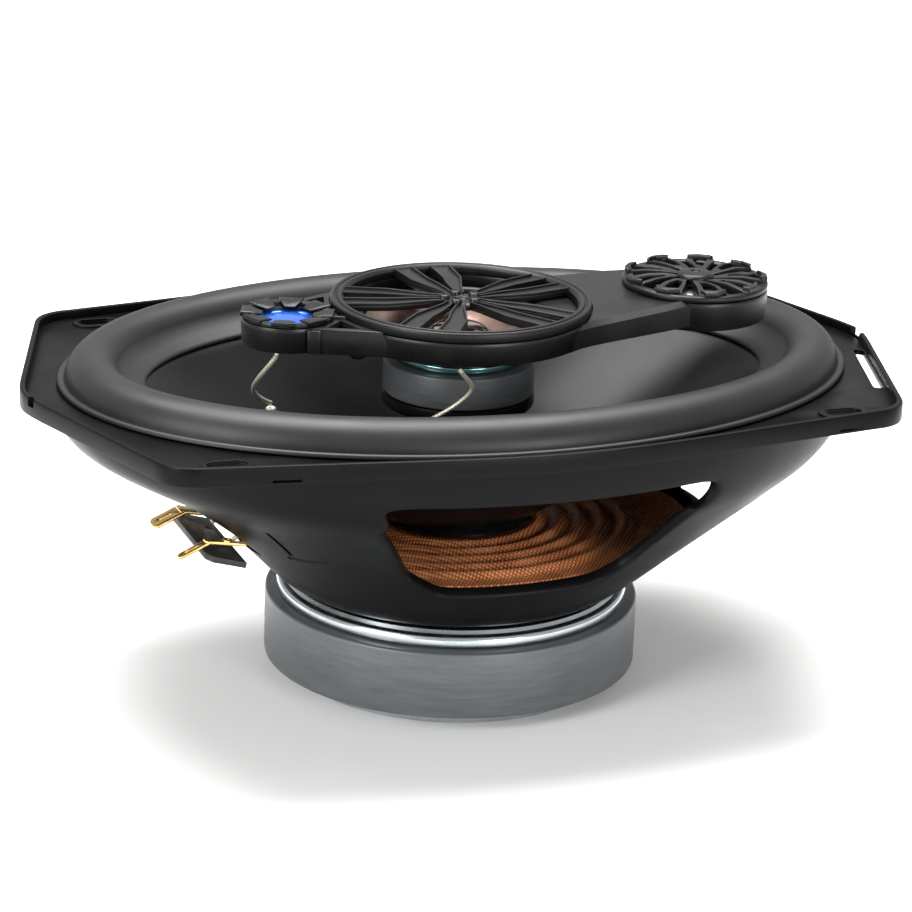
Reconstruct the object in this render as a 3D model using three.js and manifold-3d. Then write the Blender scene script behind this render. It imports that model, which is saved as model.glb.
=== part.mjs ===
// Coaxial oval car speaker: woofer with a pod that carries a midrange, a tweeter and a super tweeter.
// Millimetres, +Z up. The speaker stands on its back plate and faces up; +X runs along the long axis.
import * as THREE from 'three';
import { mergeVertices } from 'three/addons/utils/BufferGeometryUtils.js';
import Module from 'manifold-3d';

const wasm = await Module();
wasm.setup();

// ---------------------------------------------------------------- driving dimensions
const GAP = 0.3; // clearance between touching pieces
const SHEET = 1.6; // basket sheet thickness
const OVAL_STEPS = 36; // facets round an oval piece
const ROUND_STEPS = 28; // facets round a large turned piece
const SMALL_STEPS = 12; // facets round a small turned piece
const RIVET_STEPS = 6; // facets round a rivet, inside the bowl

const FLANGE = {
  tipX: 118.7, cornerX: 97, cornerY: 68.4, shoulderX: 68, shoulderY: 71.8, waistY: 76.2, sideY: 80.2,
  top: 83.5, lipTop: 85.8, lipBottom: 80.8, lipWall: 1.6, cornerRound: 9, tipRound: 14,
};
const SLOT = { x: 82, y: 61.5, length: 10, width: 5 };
const CLIP_SLOT = { width: 7, height: 1.4, z: 81.9 };

const BACK_PLATE = { radius: 43, thickness: 4 };
const MAGNET = { radius: 50, bore: 27, bottom: 4, top: 22 };
const TOP_PLATE = { radius: 47, bore: 19.4, top: 26.6 };
const POLE = { radius: 16.5, top: 27.4 };
const BOLT = { radius: 2.5, headRadius: 4.6, headHeight: 2.6, tip: 44 };
const POST = { radius: 11, flangeRadius: 14, flangeThickness: 3.2, top: 73.4 };

const NECK = { radius: 18.1, z: 43.6 };
const CONE_CREASE = { a: 84, b: 52, z: 80.5 };
const CONE_EDGE = { a: 90, b: 58, z: 83 };
const CONE_WALL = 1.2;
const SURROUND = { a: 105, b: 73, rollRadius: 7.2, wall: 1.1, foot: 1.8 };
const COIL = {
  formerIn: 17.1, formerOut: 17.6, formerBottom: 18.6, formerTop: 46,
  windIn: 17.9, windOut: 18.6, windBottom: 19, windTop: 30,
};
const SPIDER = {
  inner: 18.0, footA: 65.4, footLeft: 54.6, footB: 47.7, ripplesA: 50, ripplesB: 44, lastRipple: 19.4,
  outerZ: 39.6, innerZ: 41.2, wall: 0.9, rolls: 4, rollHeight: 1.5,
};
const SHELF = { a: 67.4, left: 56.8, b: 49.9, hole: 42, bottom: 37.7, top: 39.2 };

const POD = { bottom: 94, ringTop: 100, armTop: 99.2, ringRadius: 34.3, ringBore: 30.4, cutTop: 110 };
const POD_SCREW = { x: 32.4, y: 12, bore: 1.5 };
const MID = {
  yokeRadius: 20.2, magnetRadius: 20, magnetBore: 11, plateRadius: 17.1, poleRadius: 6.6, gapRadius: 8.4,
  yokeBottom: 73.7, yokeTop: 77.3, magnetTop: 86.2, plateTop: 88.4, poleRise: 0.4,
  coilOut: 7.9, coilIn: 7.2, coilBottom: 84.8, coilTop: 91.3,
};
const TWEETER = {
  x: 67, radius: 19.6, bore: 17.2, bottom: 94, top: 101.7, floor: 97.4,
  grilleLow: 102, rimTop: 104.3, hubTop: 106,
};
const CAPACITOR = { x: 41.5, z: 96.2, length: 14, width: 6, height: 3 };
const SUPER = { x: -47.6, radius: 12, bottom: 94, wallTop: 100.7, rimTop: 102.4, bore: 9.9, floor: 95.6 };

const EYELET = { x: -44, y: 24, radius: 1.4, hole: 1.75, bottom: 60.5, top: 68.5 };
const TERMINAL = { x: -68.3, z: 41.5, tilt: 0.27, length: 35, width: 11, thickness: 1.6, bladeY: 12.5 };
const LEAD = 1.3; // diameter of the braided leads

// ---------------------------------------------------------------- finishes
const finish = (color, roughness, metalness) => new THREE.MeshStandardMaterial({ color, roughness, metalness });
const blackSteel = () => finish(0x17181a, 0.5, 0.3);
const blackPlastic = () => finish(0x1a1b1d, 0.42, 0);
const zinc = () => finish(0xb9bfc2, 0.3, 1);
const ferrite = () => finish(0x55585b, 0.6, 0.2);
const copper = () => finish(0xb4663a, 0.35, 1);
const gold = () => finish(0xd9b060, 0.3, 1);
const rubber = () => finish(0x2a2b2d, 0.55, 0);
const braid = () => finish(0xcfcabd, 0.5, 0.6);

// ---------------------------------------------------------------- solids from three.js geometry
/** Six times the signed volume that a triangle list encloses; negative when the faces point inwards. */
function signedVolume(position, triangles) {
  const corner = (i) => new THREE.Vector3().fromArray(position, 3 * i);
  let total = 0;
  for (let i = 0; i < triangles.length; i += 3) {
    const [a, b, c] = [corner(triangles[i]), corner(triangles[i + 1]), corner(triangles[i + 2])];
    total += a.dot(b.cross(c));
  }
  return total;
}

/** Turns a closed geometry into a manifold solid whose faces point outwards. */
function solid(geometry) {
  const bare = geometry.clone();
  bare.deleteAttribute('normal');
  bare.deleteAttribute('uv');
  const merged = mergeVertices(bare, 1e-3);
  const vertProperties = new Float32Array(merged.attributes.position.array);
  const all = merged.index.array;
  const kept = [];
  for (let i = 0; i < all.length; i += 3) {
    const [a, b, c] = [all[i], all[i + 1], all[i + 2]];
    if (a !== b && b !== c && c !== a) kept.push(a, b, c);
  }
  if (signedVolume(vertProperties, kept) < 0) kept.reverse();
  return new wasm.Manifold(new wasm.Mesh({ numProp: 3, vertProperties, triVerts: new Uint32Array(kept) }));
}

/** Turns a manifold solid back into a geometry. */
function geometryOf(body) {
  const mesh = body.getMesh();
  const geometry = new THREE.BufferGeometry();
  geometry.setAttribute('position', new THREE.BufferAttribute(new Float32Array(mesh.vertProperties), 3));
  geometry.setIndex(Array.from(mesh.triVerts));
  geometry.computeVertexNormals();
  return geometry;
}

/** A flat shape pulled up from z0 to z1. */
function plate(shape, z0, z1, curveSegments = 12) {
  const geometry = new THREE.ExtrudeGeometry(shape, { depth: z1 - z0, bevelEnabled: false, curveSegments });
  return solid(geometry.translate(0, 0, z0));
}

/** A shape in the XZ plane pulled along Y from y0 to y1. */
function sideways(shape, y0, y1, curveSegments = 8) {
  const geometry = new THREE.ExtrudeGeometry(shape, { depth: y1 - y0, bevelEnabled: false, curveSegments });
  return solid(geometry.rotateX(Math.PI / 2).translate(0, y1, 0));
}

/** A turned piece: profile points are [radius, z], on the axis at both ends or closed on itself. */
function turned(profile, steps = ROUND_STEPS) {
  const points = profile.map(([r, z]) => new THREE.Vector2(r, z));
  return solid(new THREE.LatheGeometry(points, steps).rotateX(Math.PI / 2));
}

/** A washer or tube with a square section. */
function ring(outer, inner, z0, z1, steps = ROUND_STEPS) {
  return turned([[inner, z0], [outer, z0], [outer, z1], [inner, z1], [inner, z0]], steps);
}

/** A solid disc. */
function disc(radius, z0, z1, steps = ROUND_STEPS) {
  return turned([[0, z0], [radius, z0], [radius, z1], [0, z1]], steps);
}

/** A box given by its centre and size. */
function block(x, y, z, sx, sy, sz) {
  return solid(new THREE.BoxGeometry(sx, sy, sz).translate(x, y, z));
}

/** A closed loop of oval sections, each [a, b, z] or [a, b, z, left a], joined into one ring-shaped solid. */
function ovalRing(loop, steps = OVAL_STEPS) {
  const position = [];
  const index = [];
  for (const [a, b, z, left = a] of loop) {
    for (let i = 0; i < steps; i += 1) {
      const t = (2 * Math.PI * i) / steps;
      const reach = Math.cos(t) < 0 ? left : a;
      position.push(reach * Math.cos(t), b * Math.sin(t), z);
    }
  }
  for (let r = 0; r < loop.length; r += 1) {
    const next = (r + 1) % loop.length;
    for (let i = 0; i < steps; i += 1) {
      const j = (i + 1) % steps;
      const corners = [r * steps + i, r * steps + j, next * steps + j, next * steps + i];
      index.push(corners[0], corners[1], corners[2], corners[0], corners[2], corners[3]);
    }
  }
  const geometry = new THREE.BufferGeometry();
  geometry.setAttribute('position', new THREE.Float32BufferAttribute(position, 3));
  geometry.setIndex(index);
  return solid(geometry);
}

/** Offsets an oval profile by a wall thickness along its normal in the (a, z) plane. */
function offsetProfile(rows, wall) {
  return rows.map(([a, b, z, left], i) => {
    const before = rows[Math.max(i - 1, 0)];
    const after = rows[Math.min(i + 1, rows.length - 1)];
    const along = new THREE.Vector2(after[0] - before[0], after[2] - before[2]).normalize();
    return [a - along.y * wall, b - along.y * wall, z + along.x * wall, left - along.y * wall];
  });
}

/** A round-sectioned cord along hand-picked points. */
function cord(points, diameter, steps) {
  const path = new THREE.CatmullRomCurve3(points.map((p) => new THREE.Vector3(...p)));
  const section = new THREE.Shape();
  const sides = 8;
  for (let i = 0; i < sides; i += 1) {
    const t = (2 * Math.PI * i) / sides;
    const x = (diameter / 2) * Math.cos(t);
    const y = (diameter / 2) * Math.sin(t);
    if (i === 0) section.moveTo(x, y);
    else section.lineTo(x, y);
  }
  section.closePath();
  return solid(new THREE.ExtrudeGeometry(section, { steps, bevelEnabled: false, extrudePath: path }));
}

const parts = new THREE.Group();
/** Adds a named piece to the speaker. */
function add(name, body, material) {
  const mesh = new THREE.Mesh(geometryOf(body), material);
  mesh.name = name;
  parts.add(mesh);
  return mesh;
}

// ---------------------------------------------------------------- outlines
/** Flange outline, drawn a distance inside the real edge; long sides are arcs, ends are blunt points. */
function flangeOutline(inset = 0) {
  const f = FLANGE;
  const at = (x, y) => new THREE.Vector2(x, y - inset);
  const corner = at(f.cornerX - inset * 0.7, f.cornerY);
  const tip = new THREE.Vector2(f.tipX - inset, 0);
  const end = tip.clone().sub(corner).normalize();
  const alongEnd = (from, distance) => from.clone().addScaledVector(end, distance);
  const shoulder = at(f.shoulderX, f.shoulderY);
  const side = new THREE.CubicBezierCurve(at(0, f.sideY), at(22, f.sideY), at(38, f.waistY), shoulder);
  const cornerStart = corner.clone().add(new THREE.Vector2(-f.cornerRound, 0.4));
  const bend = new THREE.QuadraticBezierCurve(cornerStart, corner, alongEnd(corner, f.cornerRound));
  const nearTip = alongEnd(tip, -f.tipRound);
  const nose = new THREE.QuadraticBezierCurve(nearTip, alongEnd(tip, -3), new THREE.Vector2(tip.x - 1.2, 0));
  const quarter = [...side.getPoints(4), ...bend.getPoints(3), ...nose.getPoints(2)];
  const flipX = (points) => points.map((p) => new THREE.Vector2(-p.x, p.y)).reverse();
  const flipY = (points) => points.map((p) => new THREE.Vector2(p.x, -p.y)).reverse();
  const right = [...quarter.slice(0, -1), ...flipY(quarter).slice(0, -1)];
  const left = flipX([...right, new THREE.Vector2(0, -f.sideY + inset)]).slice(0, -1);
  return new THREE.Shape([...right, ...left].reverse());
}

/** An ellipse as a hole or shape. */
function oval(a, b) {
  const shape = new THREE.Shape();
  shape.absellipse(0, 0, a, b, 0, 2 * Math.PI, false, 0);
  return shape;
}

/** A slot with round ends, along X. */
function slotShape(x, y, length, width) {
  const half = length / 2 - width / 2;
  const stepsPerEnd = 6;
  const points = [];
  for (const side of [1, -1]) {
    for (let i = 0; i <= stepsPerEnd; i += 1) {
      const angle = (Math.PI * i) / stepsPerEnd - Math.PI / 2;
      const reach = half + (width / 2) * Math.cos(angle);
      points.push([x + side * reach, y + (side * width * Math.sin(angle)) / 2]);
    }
  }
  return polygon(points);
}

/** A polygon from a list of points. */
function polygon(points) {
  const shape = new THREE.Shape();
  points.forEach(([x, y], i) => (i === 0 ? shape.moveTo(x, y) : shape.lineTo(x, y)));
  shape.closePath();
  return shape;
}

// ---------------------------------------------------------------- woofer motor
function buildMotor() {
  const yoke = turned([
    [BOLT.radius + GAP, BOLT.headHeight], [BOLT.headRadius + GAP, BOLT.headHeight], [BOLT.headRadius + GAP, 0],
    [BACK_PLATE.radius, 0], [BACK_PLATE.radius, BACK_PLATE.thickness - GAP],
    [POLE.radius, BACK_PLATE.thickness - GAP], [POLE.radius, POLE.top], [BOLT.radius + GAP, POLE.top],
    [BOLT.radius + GAP, BOLT.headHeight],
  ]);
  add('back_plate_and_pole', yoke, zinc());
  add('ferrite_magnet', ring(MAGNET.radius, MAGNET.bore, MAGNET.bottom, MAGNET.top, 36), ferrite());
  const top = turned([
    [TOP_PLATE.bore, MAGNET.top + GAP], [TOP_PLATE.radius, MAGNET.top + GAP],
    [TOP_PLATE.radius, TOP_PLATE.top - 1.6], [TOP_PLATE.radius - 1.4, TOP_PLATE.top],
    [TOP_PLATE.bore, TOP_PLATE.top], [TOP_PLATE.bore, MAGNET.top + GAP],
  ], 36);
  add('top_plate', top, zinc());
  add('pole_bolt', turned([
    [0, GAP], [BOLT.headRadius, GAP], [BOLT.headRadius, BOLT.headHeight - GAP],
    [BOLT.radius, BOLT.headHeight - GAP], [BOLT.radius, BOLT.tip], [0, BOLT.tip],
  ], SMALL_STEPS), zinc());
  add('pod_post', turned([
    [0, BOLT.tip + 1], [BOLT.radius + GAP, BOLT.tip + 1], [BOLT.radius + GAP, POLE.top + GAP],
    [POST.radius, POLE.top + GAP], [POST.radius, POST.top - POST.flangeThickness],
    [POST.flangeRadius, POST.top - POST.flangeThickness], [POST.flangeRadius, POST.top], [0, POST.top],
  ], 28), blackPlastic());
}

// ---------------------------------------------------------------- basket
/** The bowl's outer profile: [right a, b, z, left a]. Its left end is drawn in to carry the terminal board. */
const BOWL = [
  [46, 46, 27, 46], [54, 47.8, 31, 50], [69, 50.9, 39, 58], [83.5, 58.5, 48.6, 69], [94, 66.5, 57, 80],
  [100.5, 71.5, 62, 90], [107.5, 75, 69.5, 104.5], [109, 76, 82.4, 109],
];
const WINDOW = { bottom: 39, top: 71, bottomHalf: 25, topHalf: 46, corner: 4 };
const TERMINAL_WINDOW = { half: 15.5, bottom: 41, top: 52 };
const END_WINDOW = { half: 9.5, bottom: 40.6, top: 48 };
const BOWL_FLOOR = BOWL[0][2];
const BOWL_HOLE = 24;

function buildBasket() {
  const inner = offsetProfile(BOWL, SHEET);
  const innerFloor = BOWL_FLOOR + SHEET;
  inner[0] = [44.4, 44.4, innerFloor, 44.4];
  const hole = [[BOWL_HOLE, BOWL_HOLE, innerFloor], [BOWL_HOLE, BOWL_HOLE, BOWL_FLOOR]];
  let body = ovalRing([...BOWL, ...inner.reverse(), ...hole]);
  const flange = flangeOutline();
  flange.holes.push(oval(SURROUND.a - 1.5, SURROUND.b - 1.5));
  for (const sx of [-1, 1]) {
    for (const sy of [-1, 1]) flange.holes.push(slotShape(sx * SLOT.x, sy * SLOT.y, SLOT.length, SLOT.width));
  }
  body = body.add(plate(flange, FLANGE.top - SHEET, FLANGE.top, 20));
  const lip = flangeOutline();
  lip.holes.push(flangeOutline(FLANGE.lipWall));
  body = body.add(plate(lip, FLANGE.lipBottom, FLANGE.lipTop));
  body = body.add(ovalRing([
    [SHELF.a, SHELF.b, SHELF.bottom, SHELF.left], [SHELF.a, SHELF.b, SHELF.top, SHELF.left],
    [SHELF.hole, SHELF.hole, SHELF.top], [SHELF.hole, SHELF.hole, SHELF.bottom],
  ]));
  const w = WINDOW;
  const sideWindow = polygon([
    [-w.bottomHalf + w.corner, w.bottom + 0.6], [w.bottomHalf - w.corner, w.bottom + 0.6],
    [w.bottomHalf, w.bottom + w.corner], [w.topHalf, w.top - w.corner], [w.topHalf - w.corner, w.top],
    [-w.topHalf + w.corner, w.top], [-w.topHalf, w.top - w.corner], [-w.bottomHalf, w.bottom + w.corner],
  ]);
  body = body.subtract(sideways(sideWindow, -90, 90));
  for (const [x, end] of [[-80, TERMINAL_WINDOW], [80, END_WINDOW]]) {
    body = body.subtract(block(x, 0, (end.bottom + end.top) / 2, 50, 2 * end.half, end.top - end.bottom));
  }
  for (const sy of [-1, 1]) {
    const slit = new THREE.BoxGeometry(14, 9, 7).rotateZ(sy * -0.55).translate(-56, sy * 38, 49);
    body = body.subtract(solid(slit));
  }
  for (const x of [-70, 80.5]) {
    body = body.subtract(block(x, -72, CLIP_SLOT.z, CLIP_SLOT.width, 12, CLIP_SLOT.height));
  }
  body = body.subtract(block(FLANGE.tipX, -1.5, FLANGE.lipTop, 10, 6, 2 * (FLANGE.lipTop - FLANGE.top)));
  body = body.subtract(block(-FLANGE.tipX, -6, FLANGE.lipTop, 10, 3, 2 * (FLANGE.lipTop - FLANGE.top)));
  const endSlot = new THREE.BoxGeometry(2.6, 38, 8).rotateZ(-0.31).translate(107, -28, FLANGE.top);
  body = body.subtract(solid(endSlot));
  add('basket', body, blackSteel());
  const rivetCircle = 36;
  for (let i = 0; i < 4; i += 1) {
    const angle = Math.PI / 4 + (i * Math.PI) / 2;
    const rivet = turned([[0, 0], [3.2, 0], [3.2, 0.8], [1.8, 1.8], [0, 1.8]], RIVET_STEPS)
      .translate([rivetCircle * Math.cos(angle), rivetCircle * Math.sin(angle), BOWL_FLOOR + SHEET + GAP]);
    add(`basket_rivet_${i + 1}`, rivet, zinc());
  }
}

// ---------------------------------------------------------------- terminal board
function buildTerminal() {
  const t = TERMINAL;
  const board = new THREE.BoxGeometry(t.width, t.length, t.thickness).rotateY(t.tilt).translate(t.x, 0, t.z);
  add('terminal_board', solid(board), blackPlastic());
  const blades = [
    { name: 'terminal_blade_positive', y: t.bladeY, width: 6.3 },
    { name: 'terminal_blade_negative', y: -t.bladeY, width: 2.8 },
  ];
  for (const { name, y, width } of blades) {
    const rise = t.thickness / 2 + 2 * GAP;
    const side = polygon([
      [5, rise], [5, rise + 0.8], [-6.2, rise + 0.8], [-11.4, -2.4], [-11.4, -3.2], [-6.2, rise],
    ]);
    const blade = new THREE.ExtrudeGeometry(side, { depth: width, bevelEnabled: false })
      .rotateX(Math.PI / 2).translate(0, y + width / 2, 0).rotateY(t.tilt * 0.6).translate(t.x, 0, t.z + 0.5);
    add(name, solid(blade), gold());
  }
}

// ---------------------------------------------------------------- woofer cone, coil, surround and spider
function buildMovingCone() {
  const crease = CONE_CREASE;
  const under = [
    [NECK.radius, NECK.radius, NECK.z], [30, 23.6, NECK.z + 4.5], [crease.a, crease.b, crease.z],
    [CONE_EDGE.a, CONE_EDGE.b, CONE_EDGE.z],
  ];
  const over = under.map(([a, b, z], i) => {
    const lift = i === 0 ? 0 : CONE_WALL;
    return [a, b, z + lift];
  });
  over[0] = [NECK.radius, NECK.radius, NECK.z + 2];
  let cone = ovalRing([...under, ...over.reverse()]);
  for (const sy of [-1, 1]) {
    cone = cone.subtract(disc(EYELET.hole, 50, 80, 16).translate([EYELET.x, sy * EYELET.y, 0]));
    const name = sy > 0 ? 'lead_eyelet_rear' : 'lead_eyelet_front';
    const eyelet = disc(EYELET.radius, EYELET.bottom, EYELET.top, 12).translate([EYELET.x, sy * EYELET.y, 0]);
    add(name, eyelet, braid());
  }
  add('woofer_cone', cone, finish(0x141516, 0.45, 0));
  add('voice_coil_former', ring(COIL.formerOut, COIL.formerIn, COIL.formerBottom, COIL.formerTop), copper());
  add('voice_coil_winding', ring(COIL.windOut, COIL.windIn, COIL.windBottom, COIL.windTop), copper());
}

/** One half roll seen in section, from the outer foot over the crest to the inner foot. */
function buildSurround() {
  const s = SURROUND;
  const base = FLANGE.top + GAP;
  const top = [[s.a + s.foot, s.b + s.foot, base + s.wall], [s.a, s.b, base + s.wall]];
  const bottom = [[s.a + s.foot, s.b + s.foot, base], [s.a + s.wall - 1.5, s.b + s.wall - 1.5, base]];
  const arcSteps = 6;
  const middle = s.rollRadius;
  for (let i = 1; i < arcSteps; i += 1) {
    const angle = (Math.PI * i) / arcSteps;
    const reach = Math.cos(angle);
    const rise = Math.sin(angle);
    const outer = s.rollRadius;
    const inner = s.rollRadius - s.wall;
    top.push([s.a - middle + outer * reach, s.b - middle + outer * reach, base + s.wall / 2 + outer * rise]);
    bottom.push([s.a - middle + inner * reach, s.b - middle + inner * reach, base + inner * rise]);
  }
  const edgeGap = CONE_WALL + GAP;
  top.push([CONE_EDGE.a, CONE_EDGE.b, CONE_EDGE.z + edgeGap + s.wall]);
  top.push([CONE_CREASE.a, CONE_CREASE.b, CONE_CREASE.z + edgeGap + 0.8]);
  bottom.push([CONE_EDGE.a + 0.3, CONE_EDGE.b + 0.3, CONE_EDGE.z + edgeGap + 0.2]);
  bottom.push([CONE_CREASE.a, CONE_CREASE.b, CONE_CREASE.z + edgeGap]);
  add('surround', ovalRing([...top, ...bottom.reverse()]), rubber());
}

/** An oval flat foot, then ripples that turn from oval to round down to the coil. */
function buildSpider() {
  const s = SPIDER;
  const under = [[s.footA, s.footB, s.outerZ, s.footLeft]];
  const points = 2 * s.rolls;
  for (let i = 0; i <= points; i += 1) {
    const along = i / points;
    const wave = i % 2 === 1 ? s.rollHeight : 0;
    const a = s.ripplesA + along * (s.lastRipple - s.ripplesA);
    const b = s.ripplesB + along * (s.lastRipple - s.ripplesB);
    under.push([a, b, s.outerZ + along * (s.innerZ - s.outerZ) + wave]);
  }
  under.push([s.inner, s.inner, s.innerZ]);
  const upper = under.map(([a, b, z, left]) => [a, b, z + s.wall, left]).reverse();
  add('spider', ovalRing([...under, ...upper], 32), finish(0xa8683a, 0.85, 0));
}

// ---------------------------------------------------------------- pod
/** The tweeter arm: its side view, cut to its plan. */
function tweeterArm() {
  const profile = polygon([
    [20, POD.bottom], [66, POD.bottom], [66, 102.6], [50, 102.4], [27, POD.armTop], [20, POD.armTop],
  ]);
  const edge = [[20, 27], [27, 23.4], [50, 19.4], [58, 17.4], [TWEETER.x, 14]];
  const plan = polygon([...edge.map(([x, y]) => [x, -y]), ...edge.reverse()]);
  return sideways(profile, -30, 30).intersect(plate(plan, POD.bottom, POD.cutTop));
}

function buildPod() {
  const ringPlan = new THREE.Shape().absarc(0, 0, POD.ringRadius, 0, 2 * Math.PI, false);
  let pod = plate(ringPlan, POD.bottom, POD.ringTop, 18);
  const boss = disc(TWEETER.radius, TWEETER.bottom, TWEETER.top, 36).translate([TWEETER.x, 0, 0]);
  const leftEdge = [[-22, 24], [-29, 19.6], [SUPER.x + 1, 11.9]];
  const leftPlan = polygon([...leftEdge, ...leftEdge.map(([x, y]) => [x, -y]).reverse()]);
  const holder = disc(SUPER.radius, SUPER.bottom, SUPER.wallTop, 28).translate([SUPER.x, 0, 0]);
  const leftArm = plate(leftPlan, SUPER.bottom, SUPER.wallTop);
  pod = pod.add(tweeterArm()).add(boss).add(leftArm).add(holder);
  pod = pod.subtract(disc(POD.ringRadius + GAP, POD.ringTop, POD.cutTop, 40));
  pod = pod.subtract(disc(TWEETER.radius + GAP, TWEETER.top, POD.cutTop, 36).translate([TWEETER.x, 0, 0]));
  const hollow = polygon([[36, -17], [47, -14.6], [47, 14.6], [36, 17]]);
  pod = pod.subtract(plate(hollow, POD.bottom - 1, 98.2));
  pod = pod.subtract(disc(POD.ringBore, POD.bottom - 1, POD.cutTop, 36));
  pod = pod.subtract(disc(TWEETER.bore, TWEETER.floor, POD.cutTop, 32).translate([TWEETER.x, 0, 0]));
  pod = pod.subtract(disc(SUPER.bore, SUPER.floor, POD.cutTop, 24).translate([SUPER.x, 0, 0]));
  for (const sy of [-1, 1]) {
    const opening = polygon([[-40.4, sy * 12.1], [-33.4, sy * 14.6], [-35.8, sy * 6.8]]);
    pod = pod.subtract(plate(opening, POD.bottom - 1, POD.cutTop));
  }
  const screwPlaces = [-1, 1].flatMap((sx) => [-1, 1].map((sy) => [sx * POD_SCREW.x, sy * POD_SCREW.y, 0]));
  for (const place of screwPlaces) {
    pod = pod.subtract(disc(POD_SCREW.bore, POD.bottom - 1, 96.6, SMALL_STEPS).translate(place));
  }
  add('pod_housing', pod, blackPlastic());
  screwPlaces.forEach((place, i) => {
    const screw = turned([
      [0, 91.8], [1.6, 91.8], [2.4, 92.6], [2.4, 93.7], [1.2, 93.7], [1.2, 96.2], [0, 96.2],
    ], SMALL_STEPS).translate(place);
    add(`pod_screw_${i + 1}`, screw, finish(0x1c1d1f, 0.35, 0.6));
  });
  const c = CAPACITOR;
  add('crossover_capacitor', block(c.x, 0, c.z, c.width, c.length, c.height), finish(0xc0582c, 0.5, 0));
}

/** A straight bar between two points in plan. */
function bar(from, to, width, z0, z1) {
  const start = new THREE.Vector2(...from);
  const end = new THREE.Vector2(...to);
  const side = end.clone().sub(start).normalize().rotateAround(new THREE.Vector2(), Math.PI / 2);
  side.multiplyScalar(width / 2);
  const near = [start.clone().sub(side), end.clone().sub(side)];
  const corners = [...near, end.clone().add(side), start.clone().add(side)];
  return plate(polygon(corners.map((c) => [c.x, c.y])), z0, z1);
}

function buildMidrangeGrille() {
  const low = POD.ringTop + GAP;
  const high = low + 2.5;
  let grille = ring(POD.ringRadius, 30.7, low, high, 32).add(disc(5, low, high - 0.4, 16));
  const spokes = 5;
  for (let i = 0; i < spokes; i += 1) {
    const middle = Math.PI / 2 + (2 * Math.PI * i) / spokes;
    for (const lean of [-1, 1]) {
      const root = middle + lean * 0.5;
      const foot = middle + lean * 0.24;
      const from = [3.6 * Math.cos(root), 3.6 * Math.sin(root)];
      const to = [31.6 * Math.cos(foot), 31.6 * Math.sin(foot)];
      grille = grille.add(bar(from, to, 3, low, high - 0.5));
    }
  }
  add('midrange_grille', grille, blackPlastic());
}

function buildTweeter() {
  const t = TWEETER;
  const place = (body) => body.translate([t.x, 0, 0]);
  const low = t.grilleLow;
  let grille = ring(t.radius, t.bore - 0.2, low, t.rimTop, 36);
  grille = grille.add(disc(4.4, low, t.hubTop, 16));
  const blades = 9;
  for (let i = 0; i < blades; i += 1) {
    const root = (2 * Math.PI * i) / blades;
    const foot = root + 0.75;
    const from = [3 * Math.cos(root), 3 * Math.sin(root)];
    const to = [17.8 * Math.cos(foot), 17.8 * Math.sin(foot)];
    grille = grille.add(bar(from, to, 2.6, low + 0.2, t.rimTop - 0.1));
  }
  grille = grille.translate([t.x, 0, 0]);
  add('tweeter_grille', grille, blackPlastic());
  add('tweeter_yoke', place(turned([
    [0, 97.7], [14, 97.7], [14, 99.6], [11.4, 99.6], [11.4, 98.4], [0, 98.4],
  ], 24)), zinc());
  add('tweeter_magnet', place(disc(8, 98.7, 99.5, 20)), finish(0xa7abae, 0.3, 1));
  add('tweeter_dome', place(turned([
    [0, 101.2], [6, 100.7], [8.6, 100.1], [8.6, 99.9], [10.9, 99.9], [10.9, 100.2], [9, 100.4], [6, 101.1],
    [0, 101.6],
  ], 20)), finish(0x8d9094, 0.35, 0.8));
}

function buildSuperTweeter() {
  const s = SUPER;
  const low = s.wallTop + GAP;
  let grille = ring(s.radius, s.radius - 1.9, low, s.rimTop, 24);
  const teeth = 8;
  for (let i = 0; i < teeth; i += 1) {
    const angle = (2 * Math.PI * (i + 0.5)) / teeth;
    const from = [6.4 * Math.cos(angle), 6.4 * Math.sin(angle)];
    const to = [11 * Math.cos(angle), 11 * Math.sin(angle)];
    grille = grille.add(bar(from, to, 4, low, s.rimTop));
  }
  grille = grille.translate([s.x, 0, 0]);
  add('super_tweeter_grille', grille, blackPlastic());
  const magnetTop = s.wallTop - 1.8;
  add('super_tweeter_magnet', disc(7.2, s.floor + GAP, magnetTop, 20).translate([s.x, 0, 0]), zinc());
  const foot = magnetTop + GAP;
  add('super_tweeter_dome', turned([
    [0, foot + 0.8], [4, foot + 0.4], [6.8, foot], [9.2, foot], [9.2, foot + 0.4], [6.8, foot + 0.5],
    [4, foot + 1.1], [0, foot + 1.5],
  ], 20).translate([s.x, 0, 0]), finish(0x2f7fe0, 0.25, 0.2));
}

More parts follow.
